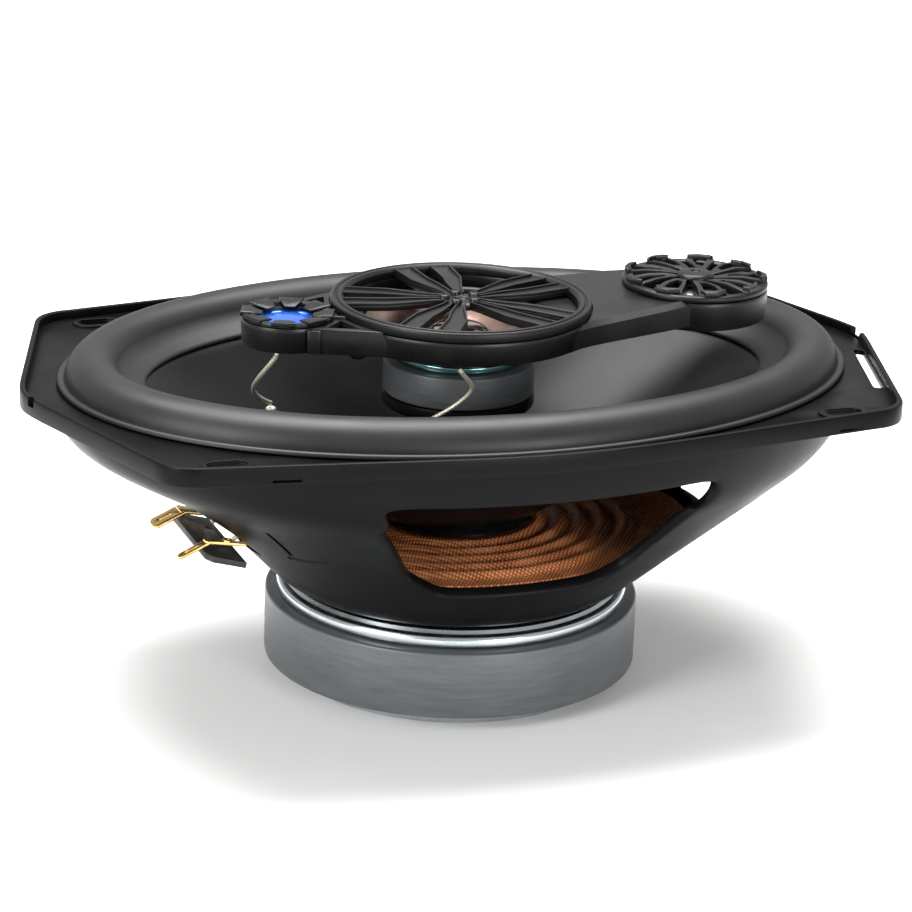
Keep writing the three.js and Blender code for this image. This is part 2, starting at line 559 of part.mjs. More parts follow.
function buildMidrange() {
  const m = MID;
  const poleTop = m.plateTop + m.poleRise;
  add('midrange_yoke', turned([
    [0, m.yokeBottom], [m.yokeRadius, m.yokeBottom], [m.yokeRadius, m.yokeTop], [m.poleRadius, m.yokeTop],
    [m.poleRadius, poleTop], [0, poleTop],
  ], 36), blackPlastic());
  add('midrange_magnet', ring(m.magnetRadius, m.magnetBore, m.yokeTop + GAP, m.magnetTop, 36), ferrite());
  add('midrange_top_plate', ring(m.plateRadius, m.gapRadius, m.magnetTop + GAP, m.plateTop, 36), zinc());
  const floor = m.plateTop + GAP;
  add('midrange_frame', turned([
    [10, floor], [17.8, floor], [20, floor + 1.4], [29.8, 94.6], [29.8, 96], [27.6, 96], [18.6, floor + 2.6],
    [10, floor + 1.4], [10, floor],
  ], 36), blackPlastic());
  add('midrange_cone', turned([
    [m.coilOut, 91.6], [25, 95.9], [25, 96.7], [m.coilOut, 92.6], [m.coilOut, 91.6],
  ], 32), finish(0xb08f86, 0.25, 0.9));
  add('midrange_surround', turned([
    [25.3, 96.3], [26.4, 97.2], [27.6, 96.3], [29.6, 96.3], [29.6, 96.8], [27.8, 96.9], [26.4, 97.9],
    [25.3, 97.1], [25.3, 96.3],
  ], 32), rubber());
  add('midrange_coil', ring(m.coilOut, m.coilIn, m.coilBottom, m.coilTop, 24), copper());
  add('midrange_dust_dome', turned([
    [0, 95.2], [4, 94.3], [7, 92.8], [8.4, 92.95], [8.4, 93.4], [7.4, 93.6], [4, 95.1], [0, 96],
  ], 24), finish(0xd6c8bf, 0.15, 1));
}

// ---------------------------------------------------------------- leads
function buildLeads() {
  const e = EYELET;
  add('pod_lead_rear', cord([
    [-52, -5, 93.2], [-52.4, -4.9, 91.2], [-55.4, -1, 85], [-54.6, 6, 80], [-51.4, 13.5, 75.5],
    [-47, 20.5, 71.5], [e.x, e.y, e.top + 0.9],
  ], LEAD, 14), braid());
  add('pod_lead_front', cord([
    [-12, -31.8, 93.2], [-11, -31.6, 92], [-7, -28.5, 87], [-9, -25.5, 82.5], [-14, -23, 78.4],
    [-22, -21.5, 74.4], [-33, -22.6, 71.6], [-41, -24, 71.6], [e.x, -e.y, e.top + 0.9],
  ], LEAD, 18), braid());
  for (const sy of [-1, 1]) {
    const name = sy > 0 ? 'tinsel_lead_rear' : 'tinsel_lead_front';
    add(name, cord([
      [-64.9, sy * 8, 42.9], [-62.4, sy * 8.4, 45], [-58, sy * 11, 46.4], [-52.4, sy * 15.4, 48.6],
      [-47.2, sy * 20.6, 52.4], [e.x, sy * e.y, e.bottom - 0.9],
    ], LEAD, 12), braid());
  }
}

buildMotor();
buildBasket();
buildTerminal();
buildMovingCone();
buildSurround();
buildSpider();
buildPod();
buildMidrangeGrille();
buildMidrange();
buildTweeter();
buildSuperTweeter();
buildLeads();

export default parts;
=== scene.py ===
"""Looks of an oval coaxial car speaker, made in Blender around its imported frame.

The frame's axes are kept: +X along the oval towards the tweeter, +Z out of the cone.
Sizes and profiles are in millimetres; MM turns them into Blender's metres.
"""

from __future__ import annotations

import logging
import math
from dataclasses import dataclass
from enum import Enum
from typing import Callable, Sequence

import bmesh
import bpy
from mathutils import Euler, Matrix, Vector


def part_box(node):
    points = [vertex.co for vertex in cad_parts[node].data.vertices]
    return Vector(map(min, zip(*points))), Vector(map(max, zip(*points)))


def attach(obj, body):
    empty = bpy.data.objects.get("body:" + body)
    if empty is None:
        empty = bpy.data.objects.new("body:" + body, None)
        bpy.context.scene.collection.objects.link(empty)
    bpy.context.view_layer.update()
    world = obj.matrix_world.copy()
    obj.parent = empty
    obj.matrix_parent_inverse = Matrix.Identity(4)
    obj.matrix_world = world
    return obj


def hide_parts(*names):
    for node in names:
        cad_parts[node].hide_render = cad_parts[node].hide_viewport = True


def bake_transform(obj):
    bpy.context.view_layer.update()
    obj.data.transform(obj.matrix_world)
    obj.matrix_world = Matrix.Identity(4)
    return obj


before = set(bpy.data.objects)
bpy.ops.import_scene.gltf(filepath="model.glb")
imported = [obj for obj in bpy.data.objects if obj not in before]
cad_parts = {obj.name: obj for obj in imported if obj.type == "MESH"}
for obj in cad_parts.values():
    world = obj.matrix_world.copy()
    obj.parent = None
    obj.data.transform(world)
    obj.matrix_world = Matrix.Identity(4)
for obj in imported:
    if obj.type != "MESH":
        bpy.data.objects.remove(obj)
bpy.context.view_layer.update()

MM = 0.001
FRAME_BODY = "frame"
CONE_BODY = "cone"
MIDRANGE_BODY = "midrange_diaphragm"

Object = bpy.types.Object
Row = tuple[float, float, float]
Point = tuple[float, float]
log = logging.getLogger("speaker")


# ------------------------------------------------------------------ colour and nodes
def linear(code: str) -> tuple[float, float, float, float]:
    """Turns an sRGB hex colour into linear light.

    Args:
        code: Six hex digits after a #.

    Returns:
        Red, green, blue and full alpha.
    """
    channels = [int(code[i:i + 2], 16) / 255 for i in (1, 3, 5)]
    red, green, blue = (c / 12.92 if c <= 0.04045 else ((c + 0.055) / 1.055) ** 2.4 for c in channels)
    return red, green, blue, 1.0


def put(tree: bpy.types.NodeTree, kind: str, inputs: dict | None = None, **settings) -> bpy.types.Node:
    """Adds a node with its settings and links.

    Args:
        tree: The material's node tree.
        kind: Blender's class name for the node.
        inputs: Values, or sockets to link from, by input name or number.
        **settings: Settings of the node itself.

    Returns:
        The new node.
    """
    made = tree.nodes.new(kind)
    for key, value in settings.items():
        setattr(made, key, value)
    for key, value in (inputs or {}).items():
        if isinstance(value, bpy.types.NodeSocket):
            tree.links.new(value, made.inputs[key])
        else:
            made.inputs[key].default_value = value
    return made


@dataclass(frozen=True)
class Finish:
    """A surface with two close shades, gloss that wanders a little, and a fine grain.

    Lengths are in millimetres.
    """

    name: str
    colour: str
    shade: str
    roughness: float
    metallic: float = 0.0
    swing: float = 0.05
    patch: float = 7.0
    grain: float = 0.35
    depth: float = 0.012
    coat: float = 0.0
    stretch: tuple[float, float, float] = (1.0, 1.0, 1.0)
    specular: float = 0.5

    def material(self) -> bpy.types.Material:
        """Gives the finish's material, made on first use."""
        known = bpy.data.materials.get(self.name)
        if known:
            return known
        made = bpy.data.materials.new(self.name)
        made.use_nodes = True
        tree = made.node_tree
        tree.nodes.clear()
        place = put(tree, "ShaderNodeTexCoord").outputs["Object"]
        shader = put(tree, "ShaderNodeBsdfPrincipled", {
            "Metallic": self.metallic, "Coat Weight": self.coat, "Specular IOR Level": self.specular,
        })
        put(tree, "ShaderNodeOutputMaterial", {"Surface": shader.outputs["BSDF"]})
        self.dress(tree, shader, place)
        return made

    def mottle(self, tree: bpy.types.NodeTree, place: bpy.types.NodeSocket) -> bpy.types.NodeSocket:
        """Gives slow patches from 0 to 1."""
        spread = put(tree, "ShaderNodeMapping", {"Vector": place, "Scale": self.stretch})
        return put(tree, "ShaderNodeTexNoise", {
            "Vector": spread.outputs["Vector"], "Scale": 1 / (self.patch * MM), "Detail": 4.0,
        }).outputs["Fac"]

    def height(self, tree: bpy.types.NodeTree, place: bpy.types.NodeSocket) -> bpy.types.NodeSocket:
        """Gives the fine relief from 0 to 1."""
        return put(tree, "ShaderNodeTexNoise", {
            "Vector": place, "Scale": 1 / (self.grain * MM), "Detail": 3.0,
        }).outputs["Fac"]

    def tint(self, tree: bpy.types.NodeTree, place: bpy.types.NodeSocket) -> bpy.types.NodeSocket:
        """Gives what mixes the two shades, from 0 to 1."""
        return self.mottle(tree, place)

    def dress(self, tree: bpy.types.NodeTree, shader: bpy.types.Node, place: bpy.types.NodeSocket) -> None:
        """Links colour, gloss and relief to the shader.

        Args:
            tree: The material's node tree.
            shader: Its principled shader.
            place: Object coordinates.
        """
        patches = self.mottle(tree, place)
        colour = self.blend_colours(tree, self.tint(tree, place))
        gloss = put(tree, "ShaderNodeMapRange", {
            "Value": patches, "From Min": 0.3, "From Max": 0.7,
            "To Min": self.roughness - self.swing, "To Max": self.roughness + self.swing,
        })
        relief = put(tree, "ShaderNodeBump", {
            "Height": self.height(tree, place), "Distance": self.depth * MM, "Strength": 1.0,
        })
        tree.links.new(colour, shader.inputs["Base Color"])
        tree.links.new(gloss.outputs["Result"], shader.inputs["Roughness"])
        tree.links.new(relief.outputs["Normal"], shader.inputs["Normal"])

    def blend_colours(self, tree: bpy.types.NodeTree, amount: bpy.types.NodeSocket) -> bpy.types.NodeSocket:
        """Mixes the two shades by an amount from 0 to 1."""
        ramp = put(tree, "ShaderNodeValToRGB", {"Fac": amount})
        ramp.color_ramp.elements[0].position = 0.3
        ramp.color_ramp.elements[1].position = 0.7
        ramp.color_ramp.elements[0].color = linear(self.colour)
        ramp.color_ramp.elements[1].color = linear(self.shade)
        return ramp.outputs["Color"]


@dataclass(frozen=True)
class WovenCloth(Finish):
    """Square weave pressed flat and dipped in resin: small threads with a painted highlight on their crests and
    painted shade in the gaps between them.
    """

    thread: float = 0.85

    def height(self, tree: bpy.types.NodeTree, place: bpy.types.NodeSocket) -> bpy.types.NodeSocket:
        """Gives the threads: two sets of bands that cross."""
        turned_place = put(tree, "ShaderNodeMapping", {"Vector": place, "Rotation": (0.0, 0.0, 0.6)})
        bands = [
            put(tree, "ShaderNodeTexWave", {
                "Vector": turned_place.outputs["Vector"],
                "Scale": 2 * math.pi / (20 * self.thread * MM),
                "Distortion": 0.0,
            }, bands_direction=direction).outputs["Fac"]
            for direction in ("X", "Y")
        ]
        return put(tree, "ShaderNodeMath", {0: bands[0], 1: bands[1]}, operation="MULTIPLY").outputs[0]

    def tint(self, tree: bpy.types.NodeTree, place: bpy.types.NodeSocket) -> bpy.types.NodeSocket:
        """Gives a painted highlight on the threads and painted shade in the gaps, with slow patches of resin."""
        # thread height lightens the crests and darkens the gaps: painted highlight and painted shade, plus real
        # resin patches
        painted_thread_light_and_resin = put(tree, "ShaderNodeMath", {
            0: self.height(tree, place), 1: self.mottle(tree, place),
        }, operation="ADD")
        return put(tree, "ShaderNodeMath", {0: painted_thread_light_and_resin.outputs[0], 1: 0.65}, operation="MULTIPLY").outputs[0]


@dataclass(frozen=True)
class TurnedMetal(Finish):
    """Plated metal turned on a lathe: fine rings about its own axis."""

    axis: Point = (0.0, 0.0)
    ring: float = 0.5

    def height(self, tree: bpy.types.NodeTree, place: bpy.types.NodeSocket) -> bpy.types.NodeSocket:
        """Gives rings that are irregular in width."""
        centred = put(tree, "ShaderNodeMapping", {
            "Vector": place,
            "Location": (-self.axis[0] * MM, -self.axis[1] * MM, 0.0),
            "Scale": (1.0, 1.0, 0.0),
        })
        reach = put(tree, "ShaderNodeVectorMath", {0: centred.outputs["Vector"]}, operation="LENGTH")
        return put(tree, "ShaderNodeTexNoise", {
            "W": reach.outputs["Value"], "Scale": 1 / (self.ring * MM), "Detail": 2.0,
        }, noise_dimensions="1D").outputs["Fac"]


# Pressed steel, sprayed semi-matt black: an even dark film that shows broad soft highlights.
PRESSED_STEEL = Finish(
    "semi-matt sprayed steel", "#08080a", "#0c0c0d", 0.36, 0.0, 0.04, 12.0, 0.5, 0.006, specular=0.09,
)
# Butyl rubber from a polished mould: dark, satin, with a very fine bloom.
ROLL_RUBBER = Finish(
    "moulded butyl rubber", "#161617", "#1c1c1d", 0.44, 0.0, 0.05, 18.0, 0.3, 0.010, specular=0.4,
)
# Mica-filled polypropylene: smooth and black with a wide dull gloss.
CONE_FILM = Finish(
    "mica filled polypropylene", "#08080a", "#0c0c0e", 0.34, 0.0, 0.04, 20.0, 0.8, 0.008, specular=0.2,
)
# Sintered ferrite, ground on its faces: mid grey, satin, faint grinding streaks.
FERRITE = Finish(
    "ground ferrite", "#505355", "#5c5f61", 0.42, 0.25, 0.07, 10.0, 0.5, 0.012, stretch=(1.0, 1.0, 9.0),
)
# Zinc-plated mild steel: bright and slightly blue, with turning rings.
ZINC = TurnedMetal("turned zinc plate", "#c6cbce", "#aeb6ba", 0.24, 1.0, 0.06, 9.0, 0.5, 0.006)
# Passivated zinc: the same plate with a green-blue tint.
TEAL_ZINC = TurnedMetal("passivated zinc plate", "#8fb3b3", "#6f9da0", 0.2, 1.0, 0.05, 6.0, 0.5, 0.004)
# ABS moulded in a fine-grained tool: black with a satin skin that picks out every edge.
POD_ABS = Finish(
    "fine grained moulded ABS", "#0a0a0b", "#0f1011", 0.36, 0.0, 0.05, 9.0, 0.22, 0.010, specular=0.38,
)
# Phenolic paper board: flat black with a fibrous fleck.
FIBRE_BOARD = Finish("black phenolic board", "#121212", "#242322", 0.55, 0.0, 0.08, 1.5, 0.25, 0.02)
# Brass tab with a thin gold flash.
GOLD = Finish("gold flashed brass", "#e2c07c", "#cfa862", 0.26, 1.0, 0.08, 2.5, 0.3, 0.006)
# Silver-plated copper strands, a little dull and warm.
TINSEL = Finish("silvered tinsel braid", "#e4dfd0", "#bdb6a2", 0.42, 0.55, 0.08, 0.7, 0.15, 0.02)
# Cotton weave dipped in copper-brown phenolic resin; the dark colour is painted shade in the gaps and the bright
# one a painted highlight on the threads, mixed with resin patches.
SPIDER_CLOTH = WovenCloth("resin dipped weave", "#8a4822", "#ea9a63", 0.6, 0.0, 0.06, 9.0, 0.4, 0.09)
# Polymer film metallised bronze-pink: a soft mirror.
BRONZE_FILM = Finish("metallised bronze film", "#c7a59a", "#a98679", 0.2, 1.0, 0.05, 8.0, 0.6, 0.004)
# Nickel-flashed dome.
NICKEL = Finish("polished nickel", "#dcd4cd", "#c6bdb4", 0.12, 1.0, 0.03, 6.0, 0.5, 0.002)
# Titanium-coated film, blued.
BLUE_DOME = Finish("blued metal film", "#2f78f0", "#1c5ad6", 0.24, 0.55, 0.04, 4.0, 0.4, 0.003, coat=0.4)
# Plain satin titanium film.
SATIN_DOME = Finish("satin titanium film", "#9fa3a7", "#878b90", 0.33, 0.9, 0.04, 4.0, 0.4, 0.003)
# Enamelled copper wire on a brown kapton tube.
COIL_WIRE = Finish(
    "enamelled copper", "#b8693a", "#94491f", 0.28, 0.8, 0.05, 3.0, 0.25, 0.03, stretch=(1.0, 1.0, 30.0),
)
# Dipped epoxy skin of a film capacitor.
EPOXY = Finish("dipped epoxy", "#a63a1c", "#8f2e15", 0.3, 0.0, 0.06, 2.0, 0.6, 0.02, coat=0.3)
# Black rubbery glue, shiny where it pooled.
GLUE = Finish("black contact glue", "#0c0c0d", "#151516", 0.14, 0.0, 0.06, 1.5, 0.9, 0.06, coat=0.5)
# Black oxide on hardened screw steel.
BLACK_OXIDE = Finish("black oxide steel", "#1d1e20", "#2a2b2d", 0.34, 0.7, 0.06, 1.2, 0.2, 0.008)
# Warm white studio floor.
FLOOR = Finish("pale studio floor", "#fbfbfa", "#f9f9f8", 0.85, 0.0, 0.02, 400.0, 3.0, 0.002)


# ------------------------------------------------------------------ making shapes
class Ends(Enum):
    """What happens at the two ends of a row of loops."""

    OPEN = "left open"
    CAPPED = "each closed by a flat face"
    POLE = "the last loop drawn together to one point"
    BRIDGED = "the last loop joined to the first"


def deselect() -> None:
    """Clears the selection."""
    bpy.ops.object.select_all(action="DESELECT")


def only(obj: Object) -> None:
    """Makes an object the one that operators act on."""
    deselect()
    obj.select_set(True)
    bpy.context.view_layer.objects.active = obj


def loft(name: str, rows: Sequence[Row], steps: int, ends: Ends, centre: Point = (0.0, 0.0)) -> Object:
    """Draws one oval loop and extrudes it from row to row.

    Args:
        name: Name of the piece.
        rows: Half length, half width and height of each loop.
        steps: Points round a loop.
        ends: What happens at the two ends.
        centre: Where the loops are centred in plan.

    Returns:
        The new mesh object.
    """
    deselect()
    a, b, z = rows[0]
    middle = (centre[0] * MM, centre[1] * MM)
    bpy.ops.mesh.primitive_circle_add(
        vertices=steps, radius=1.0, fill_type="NOTHING", location=(*middle, z * MM),
    )
    obj = bpy.context.object
    obj.name = name
    obj.scale = (a * MM, b * MM, 1.0)
    bpy.ops.object.transform_apply(location=True, rotation=True, scale=True)
    bpy.ops.object.mode_set(mode="EDIT")
    bpy.ops.mesh.select_all(action="SELECT")
    for (a0, b0, z0), (a1, b1, z1) in zip(rows, rows[1:]):
        bpy.ops.mesh.extrude_region_move(TRANSFORM_OT_translate={"value": (0.0, 0.0, (z1 - z0) * MM)})
        bpy.ops.transform.resize(value=(a1 / a0, b1 / b0, 1.0), center_override=(*middle, z1 * MM))
    if ends is Ends.POLE:
        bpy.ops.mesh.merge(type="CENTER")
    if ends in (Ends.CAPPED, Ends.BRIDGED):
        bpy.ops.mesh.select_mode(type="EDGE")
        bpy.ops.mesh.select_all(action="DESELECT")
        bpy.ops.mesh.select_non_manifold()
        if ends is Ends.BRIDGED:
            bpy.ops.mesh.bridge_edge_loops()
        else:
            bpy.ops.mesh.fill_holes(sides=0)
    bpy.ops.object.mode_set(mode="OBJECT")
    return obj


def turned(
    name: str, profile: Sequence[Point], steps: int, ends: Ends, centre: Point = (0.0, 0.0),
) -> Object:
    """Lofts round loops along a profile of radius and height."""
    return loft(name, [(r, r, z) for r, z in profile], steps, ends, centre)


def flowing(rows: Sequence[Row], between: int) -> list[Row]:
    """Adds rows between the given ones along a smooth curve through them.

    Args:
        rows: The rows that the curve passes through.
        between: New rows in each gap.

    Returns:
        The rows with the new ones among them.
    """
    points = [Vector(r) for r in rows]
    full: list[Row] = []
    for i in range(len(points) - 1):
        before = points[max(i - 1, 0)]
        after = points[min(i + 2, len(points) - 1)]
        p1, p2 = points[i], points[i + 1]
        for k in range(between + 1):
            t = k / (between + 1)
            place = 0.5 * (2 * p1 + (p2 - before) * t + (2 * before - 5 * p1 + 4 * p2 - after) * t ** 2
                           + (3 * p1 - before - 3 * p2 + after) * t ** 3)
            full.append(tuple(place))
    full.append(tuple(points[-1]))
    return full


def plate(name: str, outlines: Sequence[Sequence[Point]], low: float, high: float, soft: float) -> Object:
    """Fills flat outlines, holes among them, and gives the plate its thickness and soft edges.

    Args:
        name: Name of the piece.
        outlines: Closed outlines; one that lies inside another is a hole.
        low: Height of the underside.
        high: Height of the top.
        soft: How far the edges are rounded.

    Returns:
        The new mesh object.
    """
    curve = bpy.data.curves.new(name, "CURVE")
    curve.dimensions = "2D"
    curve.fill_mode = "BOTH"
    curve.extrude = ((high - low) / 2 - soft) * MM
    curve.bevel_depth = soft * MM
    curve.offset = -soft * MM
    curve.bevel_resolution = 1
    for outline in outlines:
        line = curve.splines.new("POLY")
        line.points.add(len(outline) - 1)
        line.use_cyclic_u = True
        for point, (x, y) in zip(line.points, outline):
            point.co = (x * MM, y * MM, 0.0, 1.0)
    obj = bpy.data.objects.new(name, curve)
    bpy.context.collection.objects.link(obj)
    only(obj)
    bpy.ops.object.convert(target="MESH")
    obj = bpy.context.object
    obj.location.z = (low + high) / 2 * MM
    bpy.ops.object.transform_apply(location=True, rotation=True, scale=True)
    return obj


def brick(name: str, centre: Row, size: Row, turn: Row = (0.0, 0.0, 0.0)) -> Object:
    """Adds a box that has been turned and put in its place, as a cutter or a block to shape."""
    deselect()
    bpy.ops.mesh.primitive_cube_add(size=1.0, location=[c * MM for c in centre], rotation=turn)
    obj = bpy.context.object
    obj.name = name
    obj.scale = [s * MM for s in size]
    bpy.ops.object.transform_apply(location=True, rotation=True, scale=True)
    return obj


def modify(obj: Object, kind: str, **settings) -> None:
    """Adds a modifier and applies it.

    Args:
        obj: The mesh object.
        kind: Blender's name for the modifier type.
        **settings: The modifier's settings.
    """
    only(obj)
    modifier = obj.modifiers.new(kind.lower(), kind)
    for key, value in settings.items():
        setattr(modifier, key, value)
    bpy.ops.object.modifier_apply(modifier=modifier.name)


def soften(obj: Object, width: float, segments: int = 2, angle: float = 30.0) -> None:
    """Bevels the edges that are sharper than an angle in degrees."""
    modify(obj, "BEVEL", width=width * MM, segments=segments, limit_method="ANGLE",
           angle_limit=math.radians(angle), use_clamp_overlap=True)


def outwards(obj: Object) -> None:
    """Merges an object's doubles and points its faces outwards."""
    only(obj)
    bpy.ops.object.mode_set(mode="EDIT")
    bpy.ops.mesh.select_all(action="SELECT")
    bpy.ops.mesh.remove_doubles(threshold=1e-6)
    bpy.ops.mesh.normals_make_consistent(inside=False)
    bpy.ops.object.mode_set(mode="OBJECT")


def cut(obj: Object, cutter: Object) -> None:
    """Cuts one object out of another and throws the cutter away."""
    outwards(cutter)
    outwards(obj)
    modify(obj, "BOOLEAN", operation="DIFFERENCE", object=cutter, solver="EXACT")
    bpy.data.objects.remove(cutter, do_unlink=True)


def joined(name: str, pieces: Sequence[Object]) -> Object:
    """Makes several objects one, under a new name."""
    deselect()
    for piece in pieces:
        piece.select_set(True)
    bpy.context.view_layer.objects.active = pieces[0]
    if len(pieces) > 1:
        bpy.ops.object.join()
    obj = bpy.context.object
    obj.name = name
    return obj


def pick(obj: Object, test: Callable[[Vector], bool], edges: bool = False) -> None:
    """Selects, in edit mode, the faces or open edges whose middle passes a test.

    Args:
        obj: The mesh object, in edit mode.
        test: Says of a middle, in millimetres, whether it is wanted.
        edges: Picks open edges instead of faces.
    """
    bpy.ops.mesh.select_mode(type="EDGE" if edges else "FACE")
    bpy.ops.mesh.select_all(action="DESELECT")
    mesh = bmesh.from_edit_mesh(obj.data)
    if edges:
        for edge in mesh.edges:
            middle = (edge.verts[0].co + edge.verts[1].co) / 2 / MM
            if edge.is_boundary and test(middle):
                edge.select_set(True)
    else:
        for face in mesh.faces:
            if test(face.calc_center_median() / MM):
                face.select_set(True)
    mesh.select_flush_mode()
    bmesh.update_edit_mesh(obj.data)


def tidy(obj: Object, smooth: float = 40.0) -> None:
    """Merges doubles, points the faces outwards and smooths the shading up to an angle in degrees."""
    outwards(obj)
    bpy.ops.object.shade_smooth_by_angle(angle=math.radians(smooth))


def dress(obj: Object, finish: Finish, slot: str, body: str | None, *nodes: str) -> Object:
    """Gives a finished piece its material and its place among the speaker's bodies.

    Args:
        obj: The finished mesh object.
        finish: Its surface.
        slot: The record's material slot; not used.
        body: The body it rides on, or None where it is attached to none.
        *nodes: The frame's nodes that it stands for.

    Returns:
        The same object.
    """
    obj.data.materials.clear()
    obj.data.materials.append(finish.material())
    if body:
        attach(obj, body)
    if nodes:
        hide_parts(*nodes)
    log.info("%s: %d faces", obj.name, len(obj.data.polygons))
    return obj


def extent(node: str) -> tuple[Vector, Vector]:
    """Gives a node's lowest and highest corners in millimetres."""
    low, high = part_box(node)
    return Vector(low) / MM, Vector(high) / MM


def oval(a: float, b: float, steps: int, centre: Point = (0.0, 0.0)) -> list[Point]:
    """Gives points round an ellipse."""
    turns = (2 * math.pi * i / steps for i in range(steps))
    return [(centre[0] + a * math.cos(t), centre[1] + b * math.sin(t)) for t in turns]


def oblong(
    x: float, y: float, length: float, width: float, turn: float = 0.0, steps: int = 10,
) -> list[Point]:
    """Gives points round a slot with round ends, turned about its middle."""
    half = (length - width) / 2
    points = []
    for side in (1, -1):
        for i in range(steps + 1):
            angle = math.pi * i / steps - math.pi / 2
            px = side * (half + width / 2 * math.cos(angle))
            py = side * width / 2 * math.sin(angle)
            points.append((x + px * math.cos(turn) - py * math.sin(turn),
                           y + px * math.sin(turn) + py * math.cos(turn)))
    return points


def around(points: Sequence[Point], angle: float, centre: Point = (0.0, 0.0)) -> list[Point]:
    """Turns plan points about the origin, then moves them to a centre."""
    c, s = math.cos(angle), math.sin(angle)
    return [(centre[0] + x * c - y * s, centre[1] + x * s + y * c) for x, y in points]


def polar(points: Sequence[Point], angle: float, centre: Point) -> list[Point]:
    """Turns radius and degrees into plan points about a centre."""
    placed = []
    for radius, degrees in points:
        t = math.radians(degrees) + angle
        placed.append((centre[0] + radius * math.cos(t), centre[1] + radius * math.sin(t)))
    return placed


def bezier(points: Sequence[Point], steps: int) -> list[Point]:
    """Gives points along a Bezier curve of any order, both ends included."""
    order = len(points) - 1
    line = []
    for k in range(steps + 1):
        t = k / steps
        weights = [math.comb(order, i) * t ** i * (1 - t) ** (order - i) for i in range(order + 1)]
        line.append((
            sum(w * p[0] for w, p in zip(weights, points)),
            sum(w * p[1] for w, p in zip(weights, points)),
        ))
    return line


def inset_of(point: Vector, a: float, b: float) -> float:
    """Gives how far inside an oval a point lies, in millimetres, by halving the range.

    Args:
        point: A point in metres.
        a: Half length of the oval.
        b: Half width of the oval.
    """
    x, y = point.x / MM, point.y / MM
    low, high = -3.0, b - 1.0
    for _ in range(24):
        middle = (low + high) / 2
        if (x / (a - middle)) ** 2 + (y / (b - middle)) ** 2 < 1:
            low = middle
        else:
            high = middle
    return (low + high) / 2


def hang_between(obj: Object, share: Callable[[Vector], float]) -> None:
    """Bakes a ring-shaped piece's place into its mesh and works out, point by point, its share of the motion
    between the outer edge at the frame and the inner edge; the shares are not kept.

    Args:
        obj: The piece.
        share: How much of the motion a point takes, from 0 to 1.
    """
    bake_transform(obj)
    for vertex in obj.data.vertices:
        s = min(max(share(vertex.co), 0.0), 1.0)


# ------------------------------------------------------------------ stage
@dataclass
class Studio:
    """Pale floor, soft lights and the camera."""

    azimuth: float = -21.03
    elevation: float = 19.28
    roll: float = 2.08
    target: Row = (0.0, 0.0, 50.0)
    distance: float = 893.96
    lens: float = 132.23
    shift: Point = (0.00189, 0.03344)
    floor_size: float = 30000.0

    def camera(self) -> None:
        """Puts the camera where it sees the speaker three-quarter from the front and above."""
        a, e, r = (math.radians(v) for v in (self.azimuth, self.elevation, self.roll))
        back = Vector((math.sin(a) * math.cos(e), -math.cos(a) * math.cos(e), math.sin(e)))
        level = Vector((math.cos(a), math.sin(a), 0.0))
        upright = back.cross(level)
        across = level * math.cos(r) + upright * math.sin(r)
        up = -level * math.sin(r) + upright * math.cos(r)
        data = bpy.data.cameras.new("studio camera")
        data.sensor_width = 36.0
        data.lens = self.lens
        data.shift_x, data.shift_y = self.shift
        data.clip_start = 0.05
        data.clip_end = 100.0
        obj = bpy.data.objects.new("studio_camera", data)
        bpy.context.collection.objects.link(obj)
        turn = Matrix((across, up, back)).transposed().to_4x4()
        place = (Vector(self.target) + back * self.distance) * MM
        obj.matrix_world = Matrix.Translation(place) @ turn
        bpy.context.scene.camera = obj

    def softbox(self, name: str, place: Row, size: Point, power: float) -> None:
        """Adds a soft rectangular lamp that faces the speaker.

        Args:
            name: The lamp's name.
            place: Where it stands, in millimetres.
            size: Its width and height in millimetres.
            power: Watts.
        """
        data = bpy.data.lights.new(name, "AREA")
        data.shape = "RECTANGLE"
        data.size, data.size_y = size[0] * MM, size[1] * MM
        data.energy = power
        obj = bpy.data.objects.new(name, data)
        bpy.context.collection.objects.link(obj)
        obj.location = Vector(place) * MM
        aim = Vector((0.0, 0.0, 50.0)) * MM - obj.location
        obj.rotation_euler = aim.to_track_quat("-Z", "Y").to_euler()

    def build(self) -> None:
        """Lays the floor and hangs the lamps."""
        deselect()
        bpy.ops.mesh.primitive_plane_add(size=self.floor_size * MM, location=(0.0, 0.0, -0.0002))
        floor = bpy.context.object
        floor.name = "studio_floor"
        floor.data.materials.append(FLOOR.material())
        bpy.context.scene.view_settings.view_transform = "Standard"
        world = bpy.data.worlds.new("studio air")
        bpy.context.scene.world = world
        world.use_nodes = True
        world.node_tree.nodes["Background"].inputs["Color"].default_value = (1.0, 1.0, 1.0, 1.0)
        world.node_tree.nodes["Background"].inputs["Strength"].default_value = 0.6
        self.softbox("overhead box", (0.0, 250.0, 1100.0), (1100.0, 700.0), 30.0)
        self.softbox("left box", (-1100.0, -500.0, 500.0), (500.0, 700.0), 12.0)
        self.softbox("front box", (300.0, -1300.0, 300.0), (500.0, 400.0), 7.0)


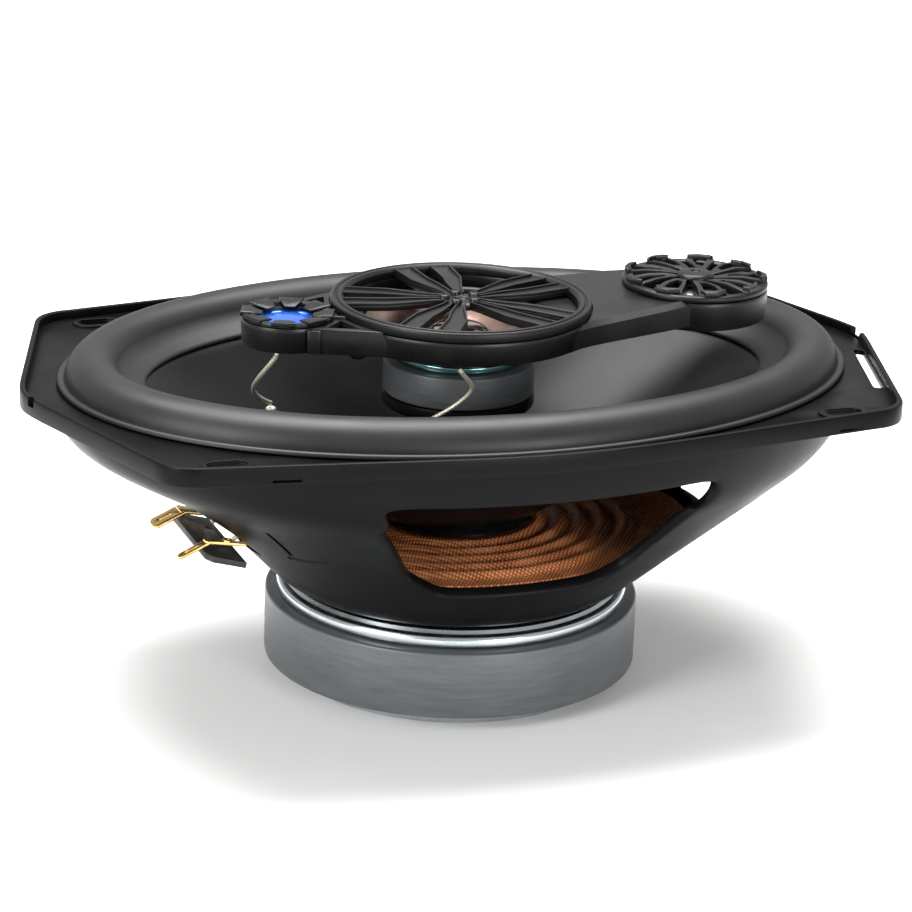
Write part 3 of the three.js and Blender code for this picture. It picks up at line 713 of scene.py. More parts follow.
# ------------------------------------------------------------------ woofer motor
@dataclass
class Motor:
    """Ferrite ring between zinc plates, with the bolt and post that carry the pod."""

    bore: float = 27.0
    gap_bore: float = 19.4
    pole: float = 16.5
    pole_top: float = 27.4
    bolt: float = 2.8
    recess: float = 4.9
    recess_depth: float = 2.6
    edge: float = 0.5
    steps: int = 160

    def build(self) -> None:
        """Makes the five pieces of the motor."""
        low, high = extent("back_plate_and_pole")
        plate_top = 3.7
        body = turned("back_plate", [
            (self.bolt, self.recess_depth), (self.recess, self.recess_depth), (self.recess, low.z),
            (high.x, low.z), (high.x, plate_top), (self.pole, plate_top), (self.pole, self.pole_top),
            (self.bolt, self.pole_top),
        ], self.steps, Ends.BRIDGED)
        soften(body, 0.45, 3)
        tidy(body)
        dress(body, ZINC, "zinc_plate", FRAME_BODY, "back_plate_and_pole")

        low, high = extent("ferrite_magnet")
        ring = turned("magnet_ring", [
            (self.bore, low.z), (high.x - 8, low.z), (high.x, low.z), (high.x, high.z), (self.bore, high.z),
        ], self.steps, Ends.BRIDGED)
        soften(ring, 0.7, 3)
        tidy(ring)
        dress(ring, FERRITE, "ferrite", FRAME_BODY, "ferrite_magnet")

        low, high = extent("top_plate")
        front = turned("front_plate", [
            (self.gap_bore, low.z), (high.x - 0.4, low.z), (high.x, low.z + 0.5), (high.x, low.z + 2.2),
            (high.x - 0.5, low.z + 3.0), (high.x - 1.5, low.z + 3.3), (high.x - 1.9, low.z + 3.1),
            (high.x - 2.5, high.z), (self.gap_bore, high.z),
        ], self.steps, Ends.BRIDGED)
        soften(front, 0.2, 2)
        tidy(front, 50.0)
        dress(front, ZINC, "zinc_plate", FRAME_BODY, "top_plate")
        self.build_bolt()
        self.build_post()

    def build_bolt(self) -> None:
        """Makes the bolt that holds the post, with a hexagon socket in its head."""
        low, high = extent("pole_bolt")
        shank, head = 2.5, high.x
        bolt = turned("pole_bolt_socket_head", [
            (1.9, low.z + 1.5), (1.9, low.z), (head, low.z), (head, low.z + 2.0), (shank, low.z + 2.0),
            (shank, high.z - 0.6), (shank - 0.6, high.z),
        ], 36, Ends.CAPPED)
        soften(bolt, 0.15, 2)
        tidy(bolt)
        dress(bolt, BLACK_OXIDE, "zinc_plate", FRAME_BODY, "pole_bolt")

    def build_post(self) -> None:
        """Makes the post, hollow at its foot, with a ribbed waist and a flange on top."""
        low, high = extent("pod_post")
        radius, flange = 11.0, high.x
        post = turned("pod_carrier_post", [
            (self.bolt, 45.0), (self.bolt, low.z), (radius, low.z), (radius, 40.0), (radius - 0.8, 41.0),
            (radius - 0.8, 64.0), (radius, 65.0), (radius, high.z - 3.2), (flange, high.z - 3.2),
            (flange, high.z),
        ], 96, Ends.CAPPED)
        soften(post, 0.4, 3)
        tidy(post)
        dress(post, POD_ABS, "black_plastic", FRAME_BODY, "pod_post")


# ------------------------------------------------------------------ basket
@dataclass
class Basket:
    """Pressed bowl with rolled windows, flat flange with an upturned lip, rivets."""

    sheet: float = 1.5
    steps: int = 72
    tip: float = 117.5
    side: float = 80.2
    waist: float = 76.2
    shoulder: Point = (68.0, 71.8)
    corner: Point = (97.0, 68.4)
    corner_round: float = 9.0
    tip_round: float = 14.0
    lip_wall: float = 1.6
    lip_low: float = 80.8
    flange_top: float = 83.5
    mouth: Point = (103.5, 71.5)
    slot: Row = (82.0, 61.5, 10.0)
    slot_width: float = 5.0
    window_heights: Point = (39.0, 71.0)
    window_halves: Point = (25.0, 46.0)
    terminal_window: Row = (15.5, 41.0, 52.0)
    end_window: Row = (9.5, 40.6, 48.0)
    relief_size: Point = (34.0, 2.6)
    relief_centre: Point = (106.4, -28.0)
    relief_turn: float = 72.5
    clip_slots: Point = (-70.0, 80.5)

    def outline(self, inset: float = 0.0) -> list[Point]:
        """Gives the flange's outline: long bowed sides, round corners and blunt ends.

        Args:
            inset: How far inside the real edge it is drawn.
        """
        cx, cy = self.corner[0] - inset * 0.7, self.corner[1] - inset
        tip = self.tip + 1.2 - inset
        reach = math.hypot(tip - cx, cy)
        along = ((tip - cx) / reach, -cy / reach)
        side = bezier([
            (0.0, self.side - inset), (22.0, self.side - inset), (38.0, self.waist - inset),
            (self.shoulder[0], self.shoulder[1] - inset),
        ], 24)
        bend = bezier([
            (cx - self.corner_round, cy + 0.4), (cx, cy),
            (cx + along[0] * self.corner_round, cy + along[1] * self.corner_round),
        ], 10)
        nose = bezier([
            (tip - along[0] * self.tip_round, -along[1] * self.tip_round),
            (tip - along[0] * 3, -along[1] * 3),
            (tip - 1.2, 0.0),
        ], 10)
        quarter = side + bend + nose
        right = quarter[:-1] + [(x, -y) for x, y in reversed(quarter)]
        left = [(-x, y) for x, y in reversed(right)]
        return right[:-1] + left[:-1]

    def bowl_rows(self) -> list[Row]:
        """Gives the outer skin of the bowl from the hole in its floor up to the flange."""
        floor = [(24.0, 24.0, 27.0), (34.0, 34.0, 27.0), (43.5, 43.5, 27.0)]
        wall = [
            (46.5, 45.6, 27.6), (50.0, 46.6, 29.0), (54.4, 47.8, 31.2), (61.5, 49.2, 34.9),
            (69.0, 51.0, 39.0),
            (76.0, 54.3, 43.5), (83.2, 58.3, 48.4), (88.7, 62.2, 52.5), (94.0, 66.5, 57.0),
            (99.6, 70.9, 61.2),
            (103.6, 73.3, 65.0), (106.8, 74.8, 69.5), (108.6, 75.8, 75.5), (109.0, 76.0, 82.2),
        ]
        return floor + wall

    def draw_in(self, obj: Object) -> None:
        """Draws the left end of the bowl in, to the flat that carries the terminal board."""
        shares = [(27.0, 1.0), (31.0, 0.93), (39.0, 0.84), (48.6, 0.826), (57.0, 0.851), (62.0, 0.895),
                  (69.5, 0.972), (75.5, 0.995), (82.4, 1.0)]
        for vertex in obj.data.vertices:
            if vertex.co.x < 0:
                z = vertex.co.z / MM
                for (z0, s0), (z1, s1) in zip(shares, shares[1:]):
                    if z0 <= z <= z1:
                        vertex.co.x *= s0 + (s1 - s0) * (z - z0) / (z1 - z0)
                        break

    def build_bowl(self) -> Object:
        """Makes the bowl: windows with rolled edges, then its thickness, then the openings at its ends."""
        bowl = loft("basket_bowl", self.bowl_rows(), self.steps, Ends.OPEN)
        self.draw_in(bowl)
        modify(bowl, "SUBSURF", levels=1, render_levels=1)
        outwards(bowl)
        low, high = self.window_heights
        foot, head = self.window_halves

        def in_window(p: Vector) -> bool:
            """Says whether a point lies in one of the two long side windows."""
            share = (p.z - low) / (high - low)
            corner = 2.5 * max(0.0, 1.0 - abs(share - 1.0) * 9.0) + 3.5 * max(0.0, 1.0 - abs(share) * 9.0)
            half = foot + (head - foot) * share - corner
            return 0.0 < share < 1.0 and abs(p.x) < half and abs(p.y) > 30.0

        bpy.ops.object.mode_set(mode="EDIT")
        pick(bowl, in_window)
        bpy.ops.mesh.delete(type="FACE")
        for side in (1, -1):
            pick(bowl, lambda p: side * p.y > 30.0 and 30.0 < p.z < 80.0 and abs(p.x) < 60.0, edges=True)
            for _ in range(3):
                bpy.ops.mesh.vertices_smooth(factor=0.5)
            first = (0.0, -side * 0.9 * MM, 0.5 * MM)
            bpy.ops.mesh.extrude_region_move(TRANSFORM_OT_translate={"value": first})
            bpy.ops.transform.resize(value=(0.992, 1.0, 0.985), center_override=(0.0, 0.0, 55.0 * MM))
            second = (0.0, -side * 1.3 * MM, 0.9 * MM)
            bpy.ops.mesh.extrude_region_move(TRANSFORM_OT_translate={"value": second})
            bpy.ops.transform.resize(value=(0.975, 1.0, 0.965), center_override=(0.0, 0.0, 55.0 * MM))
        bpy.ops.object.mode_set(mode="OBJECT")
        modify(bowl, "SOLIDIFY", thickness=self.sheet * MM, offset=-1.0)
        modify(bowl, "SUBSURF", levels=1, render_levels=1)
        for side, (half, foot_z, head_z) in ((-1, self.terminal_window), (1, self.end_window)):
            opening = brick("end_opening", (side * 80.0, 0.0, (foot_z + head_z) / 2),
                            (50.0, 2 * half, head_z - foot_z))
            soften(opening, 1.6, 3)
            cut(bowl, opening)
        for side in (1, -1):
            for size, place in (((15.0, 1.3, 12.0), (-58.6, side * 34.6, 53.6)),
                                ((1.3, 15.0, 14.0), (-51.6, side * 36.2, 48.0))):
                cut(bowl, brick("slit", place, size, (0.0, 0.0, -side * 0.62)))
        return bowl

    def build_flange(self) -> Object:
        """Makes the flat flange with its mouth, slots and collars."""
        low = self.flange_top - 1.6
        x, y, length = self.slot
        holes = [oblong(sx * x, sy * y, length, self.slot_width) for sx in (1, -1) for sy in (1, -1)]
        relief = around(oblong(0.0, 0.0, *self.relief_size), math.radians(self.relief_turn), self.relief_centre)
        sheet = plate("basket_flange", [self.outline(0.3), oval(*self.mouth, 120), relief, *holes], low,
                      self.flange_top, 0.35)
        collars = [
            plate("slot_collar", [
                oblong(sx * x, sy * y, length + 3.4, self.slot_width + 3.4),
                oblong(sx * x, sy * y, length, self.slot_width),
            ], self.flange_top - 0.5, self.flange_top + 0.45, 0.22)
            for sx in (1, -1) for sy in (1, -1)
        ]
        return joined("basket_flange", [sheet, *collars])

    def build_lip(self) -> Object:
        """Makes the upturned lip, with its end gaps and clip slots."""
        top = extent("basket")[1].z
        lip = plate("basket_lip", [self.outline(), self.outline(self.lip_wall)], self.lip_low, top, 0.55)
        tall = 2 * (top - self.flange_top)
        cut(lip, brick("end_gap", (self.tip + 1.0, -1.5, top), (10.0, 6.0, tall)))
        cut(lip, brick("end_gap", (-self.tip - 1.0, -6.0, top), (10.0, 3.0, tall)))
        for x in self.clip_slots:
            cut(lip, brick("clip_slot", (x, -71.5, 82.3), (7.0, 4.4, 1.5)))
        return lip

    def build_rivets(self) -> None:
        """Makes the four rivets that fasten the bowl to the front plate."""
        for i in range(4):
            node = f"basket_rivet_{i + 1}"
            low, high = extent(node)
            centre = ((low.x + high.x) / 2, (low.y + high.y) / 2)
            radius = (high.x - low.x) / 2
            head = turned(f"rivet_head_{i + 1}", [
                (radius, low.z), (radius, low.z + 0.5), (radius * 0.82, low.z + 1.15),
                (radius * 0.5, low.z + 1.6),
                (radius * 0.2, high.z), (0.1, high.z),
            ], 32, Ends.CAPPED, centre)
            soften(head, 0.12, 1)
            tidy(head, 60.0)
            dress(head, ZINC, "zinc_plate", FRAME_BODY, node)

    def build(self) -> None:
        """Makes the basket and its rivets."""
        basket = joined("basket_pressing", [self.build_bowl(), self.build_flange(), self.build_lip()])
        tidy(basket, 42.0)
        dress(basket, PRESSED_STEEL, "black_steel", FRAME_BODY, "basket")
        self.build_rivets()


# ------------------------------------------------------------------ terminal board
@dataclass
class Terminal:
    """Fibre board with a wide and a narrow blade, each held by an eyelet."""

    tilt: float = 0.27
    droop: float = 0.42
    blade_thickness: float = 0.8

    def build(self) -> None:
        """Makes the board and its blades."""
        low, high = extent("terminal_board")
        centre = (low + high) / 2
        half_width, half_length = 5.4, (high.y - low.y) / 2
        outline = [
            (-half_width, -half_length + 2.0), (-half_width + 1.6, -half_length),
            (half_width, -half_length),
            (half_width, half_length), (-half_width + 1.6, half_length), (-half_width, half_length - 2.0),
        ]
        pads = [oval(1.1, 1.1, 20, (2.4, y)) for y in (-8.0, 8.0)]
        board = plate("terminal_strip", [outline, *pads], -0.8, 0.8, 0.15)
        self.turn(board, self.tilt, centre)
        tidy(board)
        dress(board, FIBRE_BOARD, "terminal_board", FRAME_BODY, "terminal_board")
        for node, width in (("terminal_blade_positive", 6.3), ("terminal_blade_negative", 2.8)):
            self.build_blade(node, width)

    def turn(self, obj: Object, angle: float, centre: Vector) -> None:
        """Turns a piece about Y and moves it to its place."""
        only(obj)
        obj.rotation_euler = Euler((0.0, angle, 0.0))
        obj.location = centre * MM
        bpy.ops.object.transform_apply(location=True, rotation=True, scale=True)

    def build_blade(self, node: str, width: float) -> None:
        """Makes one blade: a flat foot with its eyelet, a bend, and the slotted tab that points down.

        Args:
            node: The frame's node for this blade.
            width: Width of the tab.
        """
        low, high = extent(node)
        y = (low.y + high.y) / 2
        half, thick = width / 2, self.blade_thickness / 2
        tab_outline = [
            (-8.8, -half * 0.55), (-7.9, -half), (0.5, -half), (0.5, half), (-7.9, half),
            (-8.8, half * 0.55),
        ]
        hole = oblong(-5.0, 0.0, 4.0, min(1.4, width * 0.36))
        tab = plate("tab", [tab_outline, hole], -thick, thick, 0.16)
        root = Vector((low.x + 8.2, y, low.z + 5.0))
        self.turn(tab, -self.droop, root)
        foot_outline = [(-1.0, -half * 0.8), (10.0, -half * 0.8), (10.0, half * 0.8), (-1.0, half * 0.8)]
        foot = plate("foot", [foot_outline], -thick, thick, 0.16)
        self.turn(foot, self.tilt * 0.6, root)
        eyelet = turned("eyelet", [
            (0.5, 0.2), (1.25, 0.2), (1.25, 0.7), (1.0, 0.95), (0.7, 0.95), (0.5, 0.7),
        ], 28, Ends.BRIDGED)
        self.turn(eyelet, self.tilt * 0.6, root + Vector((5.0, 0.0, -0.6)))
        blade = joined(f"{node}_tab", [tab, foot, eyelet])
        tidy(blade)
        dress(blade, GOLD, "gold_plate", FRAME_BODY, node)


# ------------------------------------------------------------------ cone, surround and spider
@dataclass
class MovingCone:
    """Oval cone with its coil, half-roll surround and corrugated spider."""

    neck: Row = (18.1, 18.1, 43.6)
    crease: Row = (84.0, 52.0, 80.5)
    edge: Row = (90.0, 58.0, 83.0)
    wall: float = 1.2
    roll: float = 7.2
    roll_wall: float = 1.1
    roll_base: float = 83.8
    roll_middle: float = 9.0
    steps: int = 144

    def build_cone(self) -> None:
        """Makes the cone: one skin from the round neck to the oval edge, and its wall."""
        middle = (30.0, 23.4, 48.4)
        under = flowing([self.neck, middle, (56.0, 37.3, 63.8), self.crease], 7) + [self.edge]
        over = [(a, b, z + self.wall) for a, b, z in under]
        over[0] = (self.neck[0], self.neck[1], self.neck[2] + 2.0)
        cone = loft("cone_skin", under + over[::-1], self.steps, Ends.BRIDGED)
        tidy(cone, 35.0)
        dress(cone, CONE_FILM, "cone_poly", CONE_BODY, "woofer_cone")
        glue = turned("cone_neck_glue", [
            (17.85, 42.6), (20.4, 42.9), (21.0, 43.4), (20.2, 44.1), (18.4, 44.6), (17.85, 45.2),
        ], 96, Ends.BRIDGED)
        tidy(glue, 80.0)
        dress(glue, GLUE, "cone_poly", CONE_BODY)

    def build_coil(self) -> None:
        """Makes the coil's tube and its winding, one ridge to each turn of wire."""
        low, high = extent("voice_coil_former")
        inner = high.x - 0.5
        tube = turned("coil_tube", [(inner, low.z), (high.x, low.z), (high.x, high.z), (inner, high.z)], 96,
                      Ends.BRIDGED)
        tidy(tube)
        dress(tube, COIL_WIRE, "copper_coil", CONE_BODY, "voice_coil_former")
        low, high = extent("voice_coil_winding")
        turns = 22
        pitch = (high.z - low.z) / turns
        profile = [(high.x - 0.7, low.z)]
        for i in range(turns):
            profile += [(high.x - 0.14, low.z + i * pitch), (high.x, low.z + (i + 0.5) * pitch)]
        profile += [(high.x - 0.14, high.z), (high.x - 0.7, high.z)]
        wire = turned("coil_winding", profile, 96, Ends.BRIDGED)
        tidy(wire, 80.0)
        dress(wire, COIL_WIRE, "copper_coil", CONE_BODY, "voice_coil_winding")

    def build_eyelets(self) -> None:
        """Makes the solder eyelets and the dab of glue round each of them."""
        for node in ("lead_eyelet_front", "lead_eyelet_rear"):
            low, high = extent(node)
            centre = ((low.x + high.x) / 2, (low.y + high.y) / 2)
            radius = (high.x - low.x) / 2
            eyelet = turned(f"{node}_solder", [
                (radius * 0.8, low.z), (radius, low.z + 0.4), (radius, high.z - 0.9),
                (radius, high.z - 0.5),
                (radius * 0.7, high.z - 0.1), (0.2, high.z),
            ], 32, Ends.CAPPED, centre)
            tidy(eyelet, 80.0)
            dress(eyelet, TINSEL, "braided_lead", CONE_BODY, node)
            foot = high.z - 2.6
            dab = turned(f"{node}_glue", [
                (3.4, foot - 1.2), (3.5, foot + 0.1), (3.0, foot + 1.0), (2.0, foot + 1.6),
                (1.55, foot + 1.7),
                (1.5, foot - 1.2),
            ], 40, Ends.BRIDGED, centre)
            tidy(dab, 80.0)
            dress(dab, GLUE, "cone_poly", CONE_BODY)

    def roll_section(self) -> list[Row]:
        """Gives the surround's section as closed rows, from the outer foot over the roll and back."""
        high = extent("surround")[1]
        a, b, base = high.x, high.y, self.roll_base
        top = [(0.0, base + 0.7), (0.35, base + 1.1), (1.4, base + 1.1)]
        bottom = [(0.0, base + 0.15), (1.6, base)]
        arc = 26
        for i in range(arc + 1):
            angle = math.pi * (0.02 + 0.86 * i / arc)
            lift = base + self.roll_wall / 2
            top.append((self.roll_middle - self.roll * math.cos(angle), lift + self.roll * math.sin(angle)))
            thin = self.roll - self.roll_wall
            bottom.append((self.roll_middle - thin * math.cos(angle), lift + thin * math.sin(angle)))
        top += [(16.9, 86.1), (17.8, 85.3), (19.5, 84.5), (22.0, 83.4), (22.7, 83.0), (22.9, 82.6)]
        bottom += [(16.4, 85.1), (17.4, 84.6), (19.4, 83.7), (22.0, 82.5), (22.8, 82.15)]
        return [(a - d, b - d, z) for d, z in top + bottom[::-1]]

    def build_surround(self) -> None:
        """Makes the half roll between the basket and the cone."""
        surround = loft("half_roll_surround", self.roll_section(), self.steps, Ends.BRIDGED)
        tidy(surround, 50.0)
        dress(surround, ROLL_RUBBER, "rubber_roll", None, "surround")
        high = extent("surround")[1]
        hang_between(surround, lambda p: (inset_of(p, high.x, high.y) - 1.8) / 14.6)

    def build_spider(self) -> None:
        """Makes the spider: a flat woven foot, then ripples down to the coil."""
        low, high = extent("spider")
        base, wall, ripples, ripple_height = low.z, 0.5, 5, 1.5
        start, finish = (50.0, 44.0), 19.4
        rows: list[Row] = [(high.x, high.y, base), (high.x * 0.5 + 25.5, high.y * 0.5 + 22.5, base)]
        fine = 12 * ripples
        for i in range(fine + 1):
            s = i / fine
            lift = ripple_height / 2 * (1 - math.cos(2 * math.pi * ripples * s))
            rows.append((start[0] + (finish - start[0]) * s, start[1] + (finish - start[1]) * s,
                         base + 1.3 * s + lift))
        rows.append((18.05, 18.05, base + 1.5))
        upper = [(a, b, z + wall) for a, b, z in rows]
        spider = loft("woven_spider", rows + upper[::-1], 120, Ends.BRIDGED)
        drawn = 1 + low.x / high.x
        for vertex in spider.data.vertices:
            reach = math.hypot(vertex.co.x / MM / high.x, vertex.co.y / MM / high.y)
            if vertex.co.x < 0 and reach > 0.77:
                vertex.co.x *= 1 - drawn * (reach - 0.77) / 0.23
        tidy(spider, 70.0)
        dress(spider, SPIDER_CLOTH, "spider_cloth", None, "spider")
        hang_between(spider, lambda p: (46.0 - math.hypot(p.x, p.y) / MM) / 27.0)

    def build(self) -> None:
        """Makes everything that moves with the cone, and what carries it."""
        self.build_cone()
        self.build_coil()
        self.build_eyelets()
        self.build_surround()
        self.build_spider()


# ------------------------------------------------------------------ pod
@dataclass
class Pod:
    """Moulded bridge over the cone: a ring, an arm to each tweeter, screws and the crossover capacitor."""

    bottom: float = 94.0
    ring_top: float = 100.0
    ring: float = 34.3
    bore: float = 30.4
    tweeter: Point = (67.0, 0.0)
    tweeter_radius: float = 19.6
    tweeter_top: float = 101.7
    tweeter_bore: float = 17.2
    tweeter_floor: float = 97.4
    small: Point = (-47.6, 0.0)
    small_radius: float = 12.0
    small_top: float = 100.7
    small_bore: float = 9.9
    small_floor: float = 95.6
    shoulder: float = 1.7
    cut_low: float = 80.0
    cut_top: float = 120.0

    def ring_wall(self) -> Object:
        """Makes the ring that holds the midrange."""
        body = turned("pod_ring", [
            (self.bore, self.bottom), (self.ring - 0.2, self.bottom), (self.ring, self.ring_top - 1.0),
            (self.ring, self.ring_top), (self.bore, self.ring_top),
        ], 144, Ends.BRIDGED)
        soften(body, 0.3, 2, 40)
        return body

    def tweeter_arm(self) -> Object:
        """Makes the broad arm: a slab with a chamfered shoulder that rises towards the tweeter."""
        plan = [
            (20.0, -27.6), (23.5, -25.2), (28.0, -23.2), (36.0, -21.4), (50.0, -19.1), (58.0, -17.4),
            (67.0, -14.0),
            (67.0, 14.0), (58.0, 17.4), (50.0, 19.1), (36.0, 21.4), (28.0, 23.2), (23.5, 25.2),
            (20.0, 27.6),
        ]
        arm = plate("tweeter_arm", [plan], self.bottom, self.ring_top - 1.0, 0.0)
        tidy(arm)
        bpy.ops.object.mode_set(mode="EDIT")
        pick(arm, lambda middle: middle.z > self.ring_top - 1.1)
        bpy.ops.mesh.inset(thickness=self.shoulder * MM, depth=1.3 * MM)
        bpy.ops.object.mode_set(mode="OBJECT")
        for vertex in arm.data.vertices:
            share = min(max(vertex.co.x / MM - 30.0, 0.0) / 28.0, 1.0)
            vertex.co.z += (2.1 if vertex.co.z > 97.0 * MM else 1.4) * share * MM
        soften(arm, 0.45, 3, 20)
        cut(arm, turned("cutter", [(self.bore, self.cut_low), (self.bore, self.cut_top)], 144, Ends.CAPPED))
        seat = self.ring + 0.4
        cut(arm, turned("cutter", [(seat, self.ring_top), (seat, self.cut_top)], 144, Ends.CAPPED))
        cut(arm, turned("cutter", [
            (self.tweeter_radius - 0.6, self.bottom - 3.0), (self.tweeter_radius - 0.6, self.cut_top),
        ], 96, Ends.CAPPED, self.tweeter))
        return arm

    def cup(self, name: str, centre: Point, sizes: tuple[float, ...]) -> Object:
        """Makes a round cup that a tweeter sits in.

        Args:
            name: The cup's name.
            centre: Its place in plan.
            sizes: Outer radius, bore, underside, floor, top and edge rounding.
        """
        radius, bore, low, floor, top, soft = sizes
        body = turned(name, [
            (bore * 0.3, floor), (bore * 0.3, low), (radius - 0.3, low), (radius, top - 1.2), (radius, top),
            (bore, top), (bore, floor),
        ], 96, Ends.BRIDGED, centre)
        soften(body, soft, 2, 35)
        return body

    def small_arm(self) -> Object:
        """Makes the narrow arm as a thin-walled frame with a web and two open triangles."""
        outline = [
            (-23.0, -25.4), (-26.0, -21.4), (-29.0, -19.4), (self.small[0] + 1.6, -11.9),
            (self.small[0] + 1.6, 11.9), (-29.0, 19.4), (-26.0, 21.4), (-23.0, 25.4),
        ]
        holes = [[(-40.8, sy * 12.1), (-32.9, sy * 15.2), (-35.4, sy * 6.8)] for sy in (1, -1)]
        frame_wall = plate("small_arm", [outline, *holes], self.bottom, self.small_top, 0.3)
        for turn_out, radius, low in (((0.0, 0.0), self.bore, self.cut_low),
                                      ((0.0, 0.0), self.ring + 0.35, self.ring_top),
                                      (self.small, self.small_bore, self.small_floor)):
            cut(frame_wall, turned("cutter", [(radius, low), (radius, self.cut_top)], 96, Ends.CAPPED, turn_out))
        ribs = [
            brick("rib", (-44.6, sy * 12.9, 97.3), (3.4, 1.3, 6.2), (0.0, 0.0, sy * 0.4)) for sy in (1, -1)
        ]
        for rib in ribs:
            soften(rib, 0.25, 2)
        webs = []
        for sy in (1, -1):
            place = (-37.0, sy * 4.6, self.small_top + 0.1)
            web = brick("web", place, (7.0, 1.3, 1.2), (0.0, 0.0, sy * 0.35))
            soften(web, 0.3, 2)
            webs.append(web)
        return joined("small_arm", [frame_wall, *ribs, *webs])

    def build(self) -> None:
        """Makes the housing, its screws and the capacitor."""
        tweeter_cup = self.cup("tweeter_cup", self.tweeter, (
            self.tweeter_radius, self.tweeter_bore, self.bottom, self.tweeter_floor, self.tweeter_top, 0.5))
        small_cup = self.cup("small_cup", self.small, (
            self.small_radius, self.small_bore, self.bottom, self.small_floor, self.small_top, 0.35))
        housing = joined("pod_moulding", [
            self.ring_wall(), self.tweeter_arm(), tweeter_cup, self.small_arm(), small_cup,
        ])
        tidy(housing, 32.0)
        dress(housing, POD_ABS, "black_plastic", FRAME_BODY, "pod_housing")
        self.build_screws()
        self.build_capacitor()

    def build_screws(self) -> None:
        """Makes the four screws, with a cross recess in each head."""
        for i in range(4):
            node = f"pod_screw_{i + 1}"
            low, high = extent(node)
            centre = ((low.x + high.x) / 2, (low.y + high.y) / 2)
            head = (high.x - low.x) / 2
            screw = turned(f"{node}_pan_head", [
                (0.3, low.z), (head * 0.6, low.z + 0.1), (head * 0.9, low.z + 0.6), (head, low.z + 1.2),
                (head, low.z + 1.9), (1.2, low.z + 1.9), (1.2, high.z - 0.4), (0.8, high.z),
            ], 36, Ends.CAPPED, centre)
            soften(screw, 0.12, 2)
            for turn in (0.0, math.pi / 2):
                cut(screw, brick("recess", (*centre, low.z), (2.2, 0.55, 1.2), (0.0, 0.0, turn)))
            tidy(screw)
            dress(screw, BLACK_OXIDE, "black_steel", FRAME_BODY, node)

    def build_capacitor(self) -> None:
        """Makes the film capacitor: a dipped brick with round shoulders."""
        low, high = extent("crossover_capacitor")
        centre = (low + high) / 2
        size = high - low
        body = brick("film_capacitor", tuple(centre), tuple(size))
        soften(body, min(size) * 0.42, 5)
        tidy(body, 60.0)
        dress(body, EPOXY, "capacitor_film", FRAME_BODY, "crossover_capacitor")


# ------------------------------------------------------------------ grilles
@dataclass
class MidrangeGrille:
    """Ring with a stepped edge, five forked spokes with raised edges, and a hub with five small bosses."""

    spokes: int = 5
    inner: float = 30.7
    outer: float = 34.3
    boss_circle: float = 4.3

    def leg(self, angle: float, side: int, low: float) -> list[Object]:
        """Makes one leg of a fork: its body and the two thin ridges along its edges.

        Args:
            angle: Direction of the fork.
            side: 1 or -1, which leg it is.
            low: Height of the grille's underside.
        """
        near = [(3.6, 0.35), (9.0, 0.5), (14.0, 0.9), (19.5, 1.9), (31.6, 2.4)]
        far = [(31.6, 8.2), (19.0, 7.1), (12.5, 4.9), (8.0, 3.3), (4.4, 2.6)]
        flip = [(x, side * y) for x, y in near + far]
        body = plate("leg", [around(flip, angle)], low, low + 1.75, 0.25)
        ridges = []
        for line, shift in ((near, 0.55), (list(reversed(far)), -0.55)):
            strip = line + [(x, y + shift) for x, y in reversed(line)]
            shape = around([(x, side * y) for x, y in strip], angle)
            ridge = plate("ridge", [shape], low + 1.4, low + 2.3, 0.12)
            ridges.append(ridge)
        return [body, *ridges]

    def build(self) -> None:
        """Makes the grille as one moulding."""
        low = extent("midrange_grille")[0].z
        high = extent("midrange_grille")[1].z
        rim = turned("rim", [
            (self.inner, low), (self.outer, low), (self.outer, high - 0.5), (self.outer - 0.35, high - 0.1),
            (self.outer - 1.0, high - 0.1), (self.outer - 1.3, high - 0.6), (self.outer - 1.7, high - 0.6),
            (self.outer - 2.0, high), (self.outer - 2.7, high), (self.inner, high - 0.9),
        ], 160, Ends.BRIDGED)
        soften(rim, 0.12, 2)
        pieces = [rim]
        for i in range(self.spokes):
            angle = math.pi / 2 + 2 * math.pi * i / self.spokes
            for side in (1, -1):
                pieces += self.leg(angle, side, low)
            place = (self.boss_circle * math.cos(angle), self.boss_circle * math.sin(angle))
            boss = turned("boss", [
                (0.55, low + 1.6), (0.55, low + 3.0), (0.9, low + 3.0), (1.4, low + 2.7), (1.4, low + 0.4),
                (0.55, low + 0.4),
            ], 28, Ends.BRIDGED, place)
            soften(boss, 0.1, 1)
            pieces.append(boss)
        hub = turned("hub", [
            (5.4, low), (5.4, low + 1.5), (4.6, low + 1.9), (2.4, low + 1.9), (1.9, low + 1.2),
        ], 60, Ends.CAPPED)
        soften(hub, 0.15, 2)
        grille = joined("midrange_grille_moulding", [*pieces, hub])
        tidy(grille, 32.0)
        dress(grille, POD_ABS, "black_plastic", FRAME_BODY, "midrange_grille")


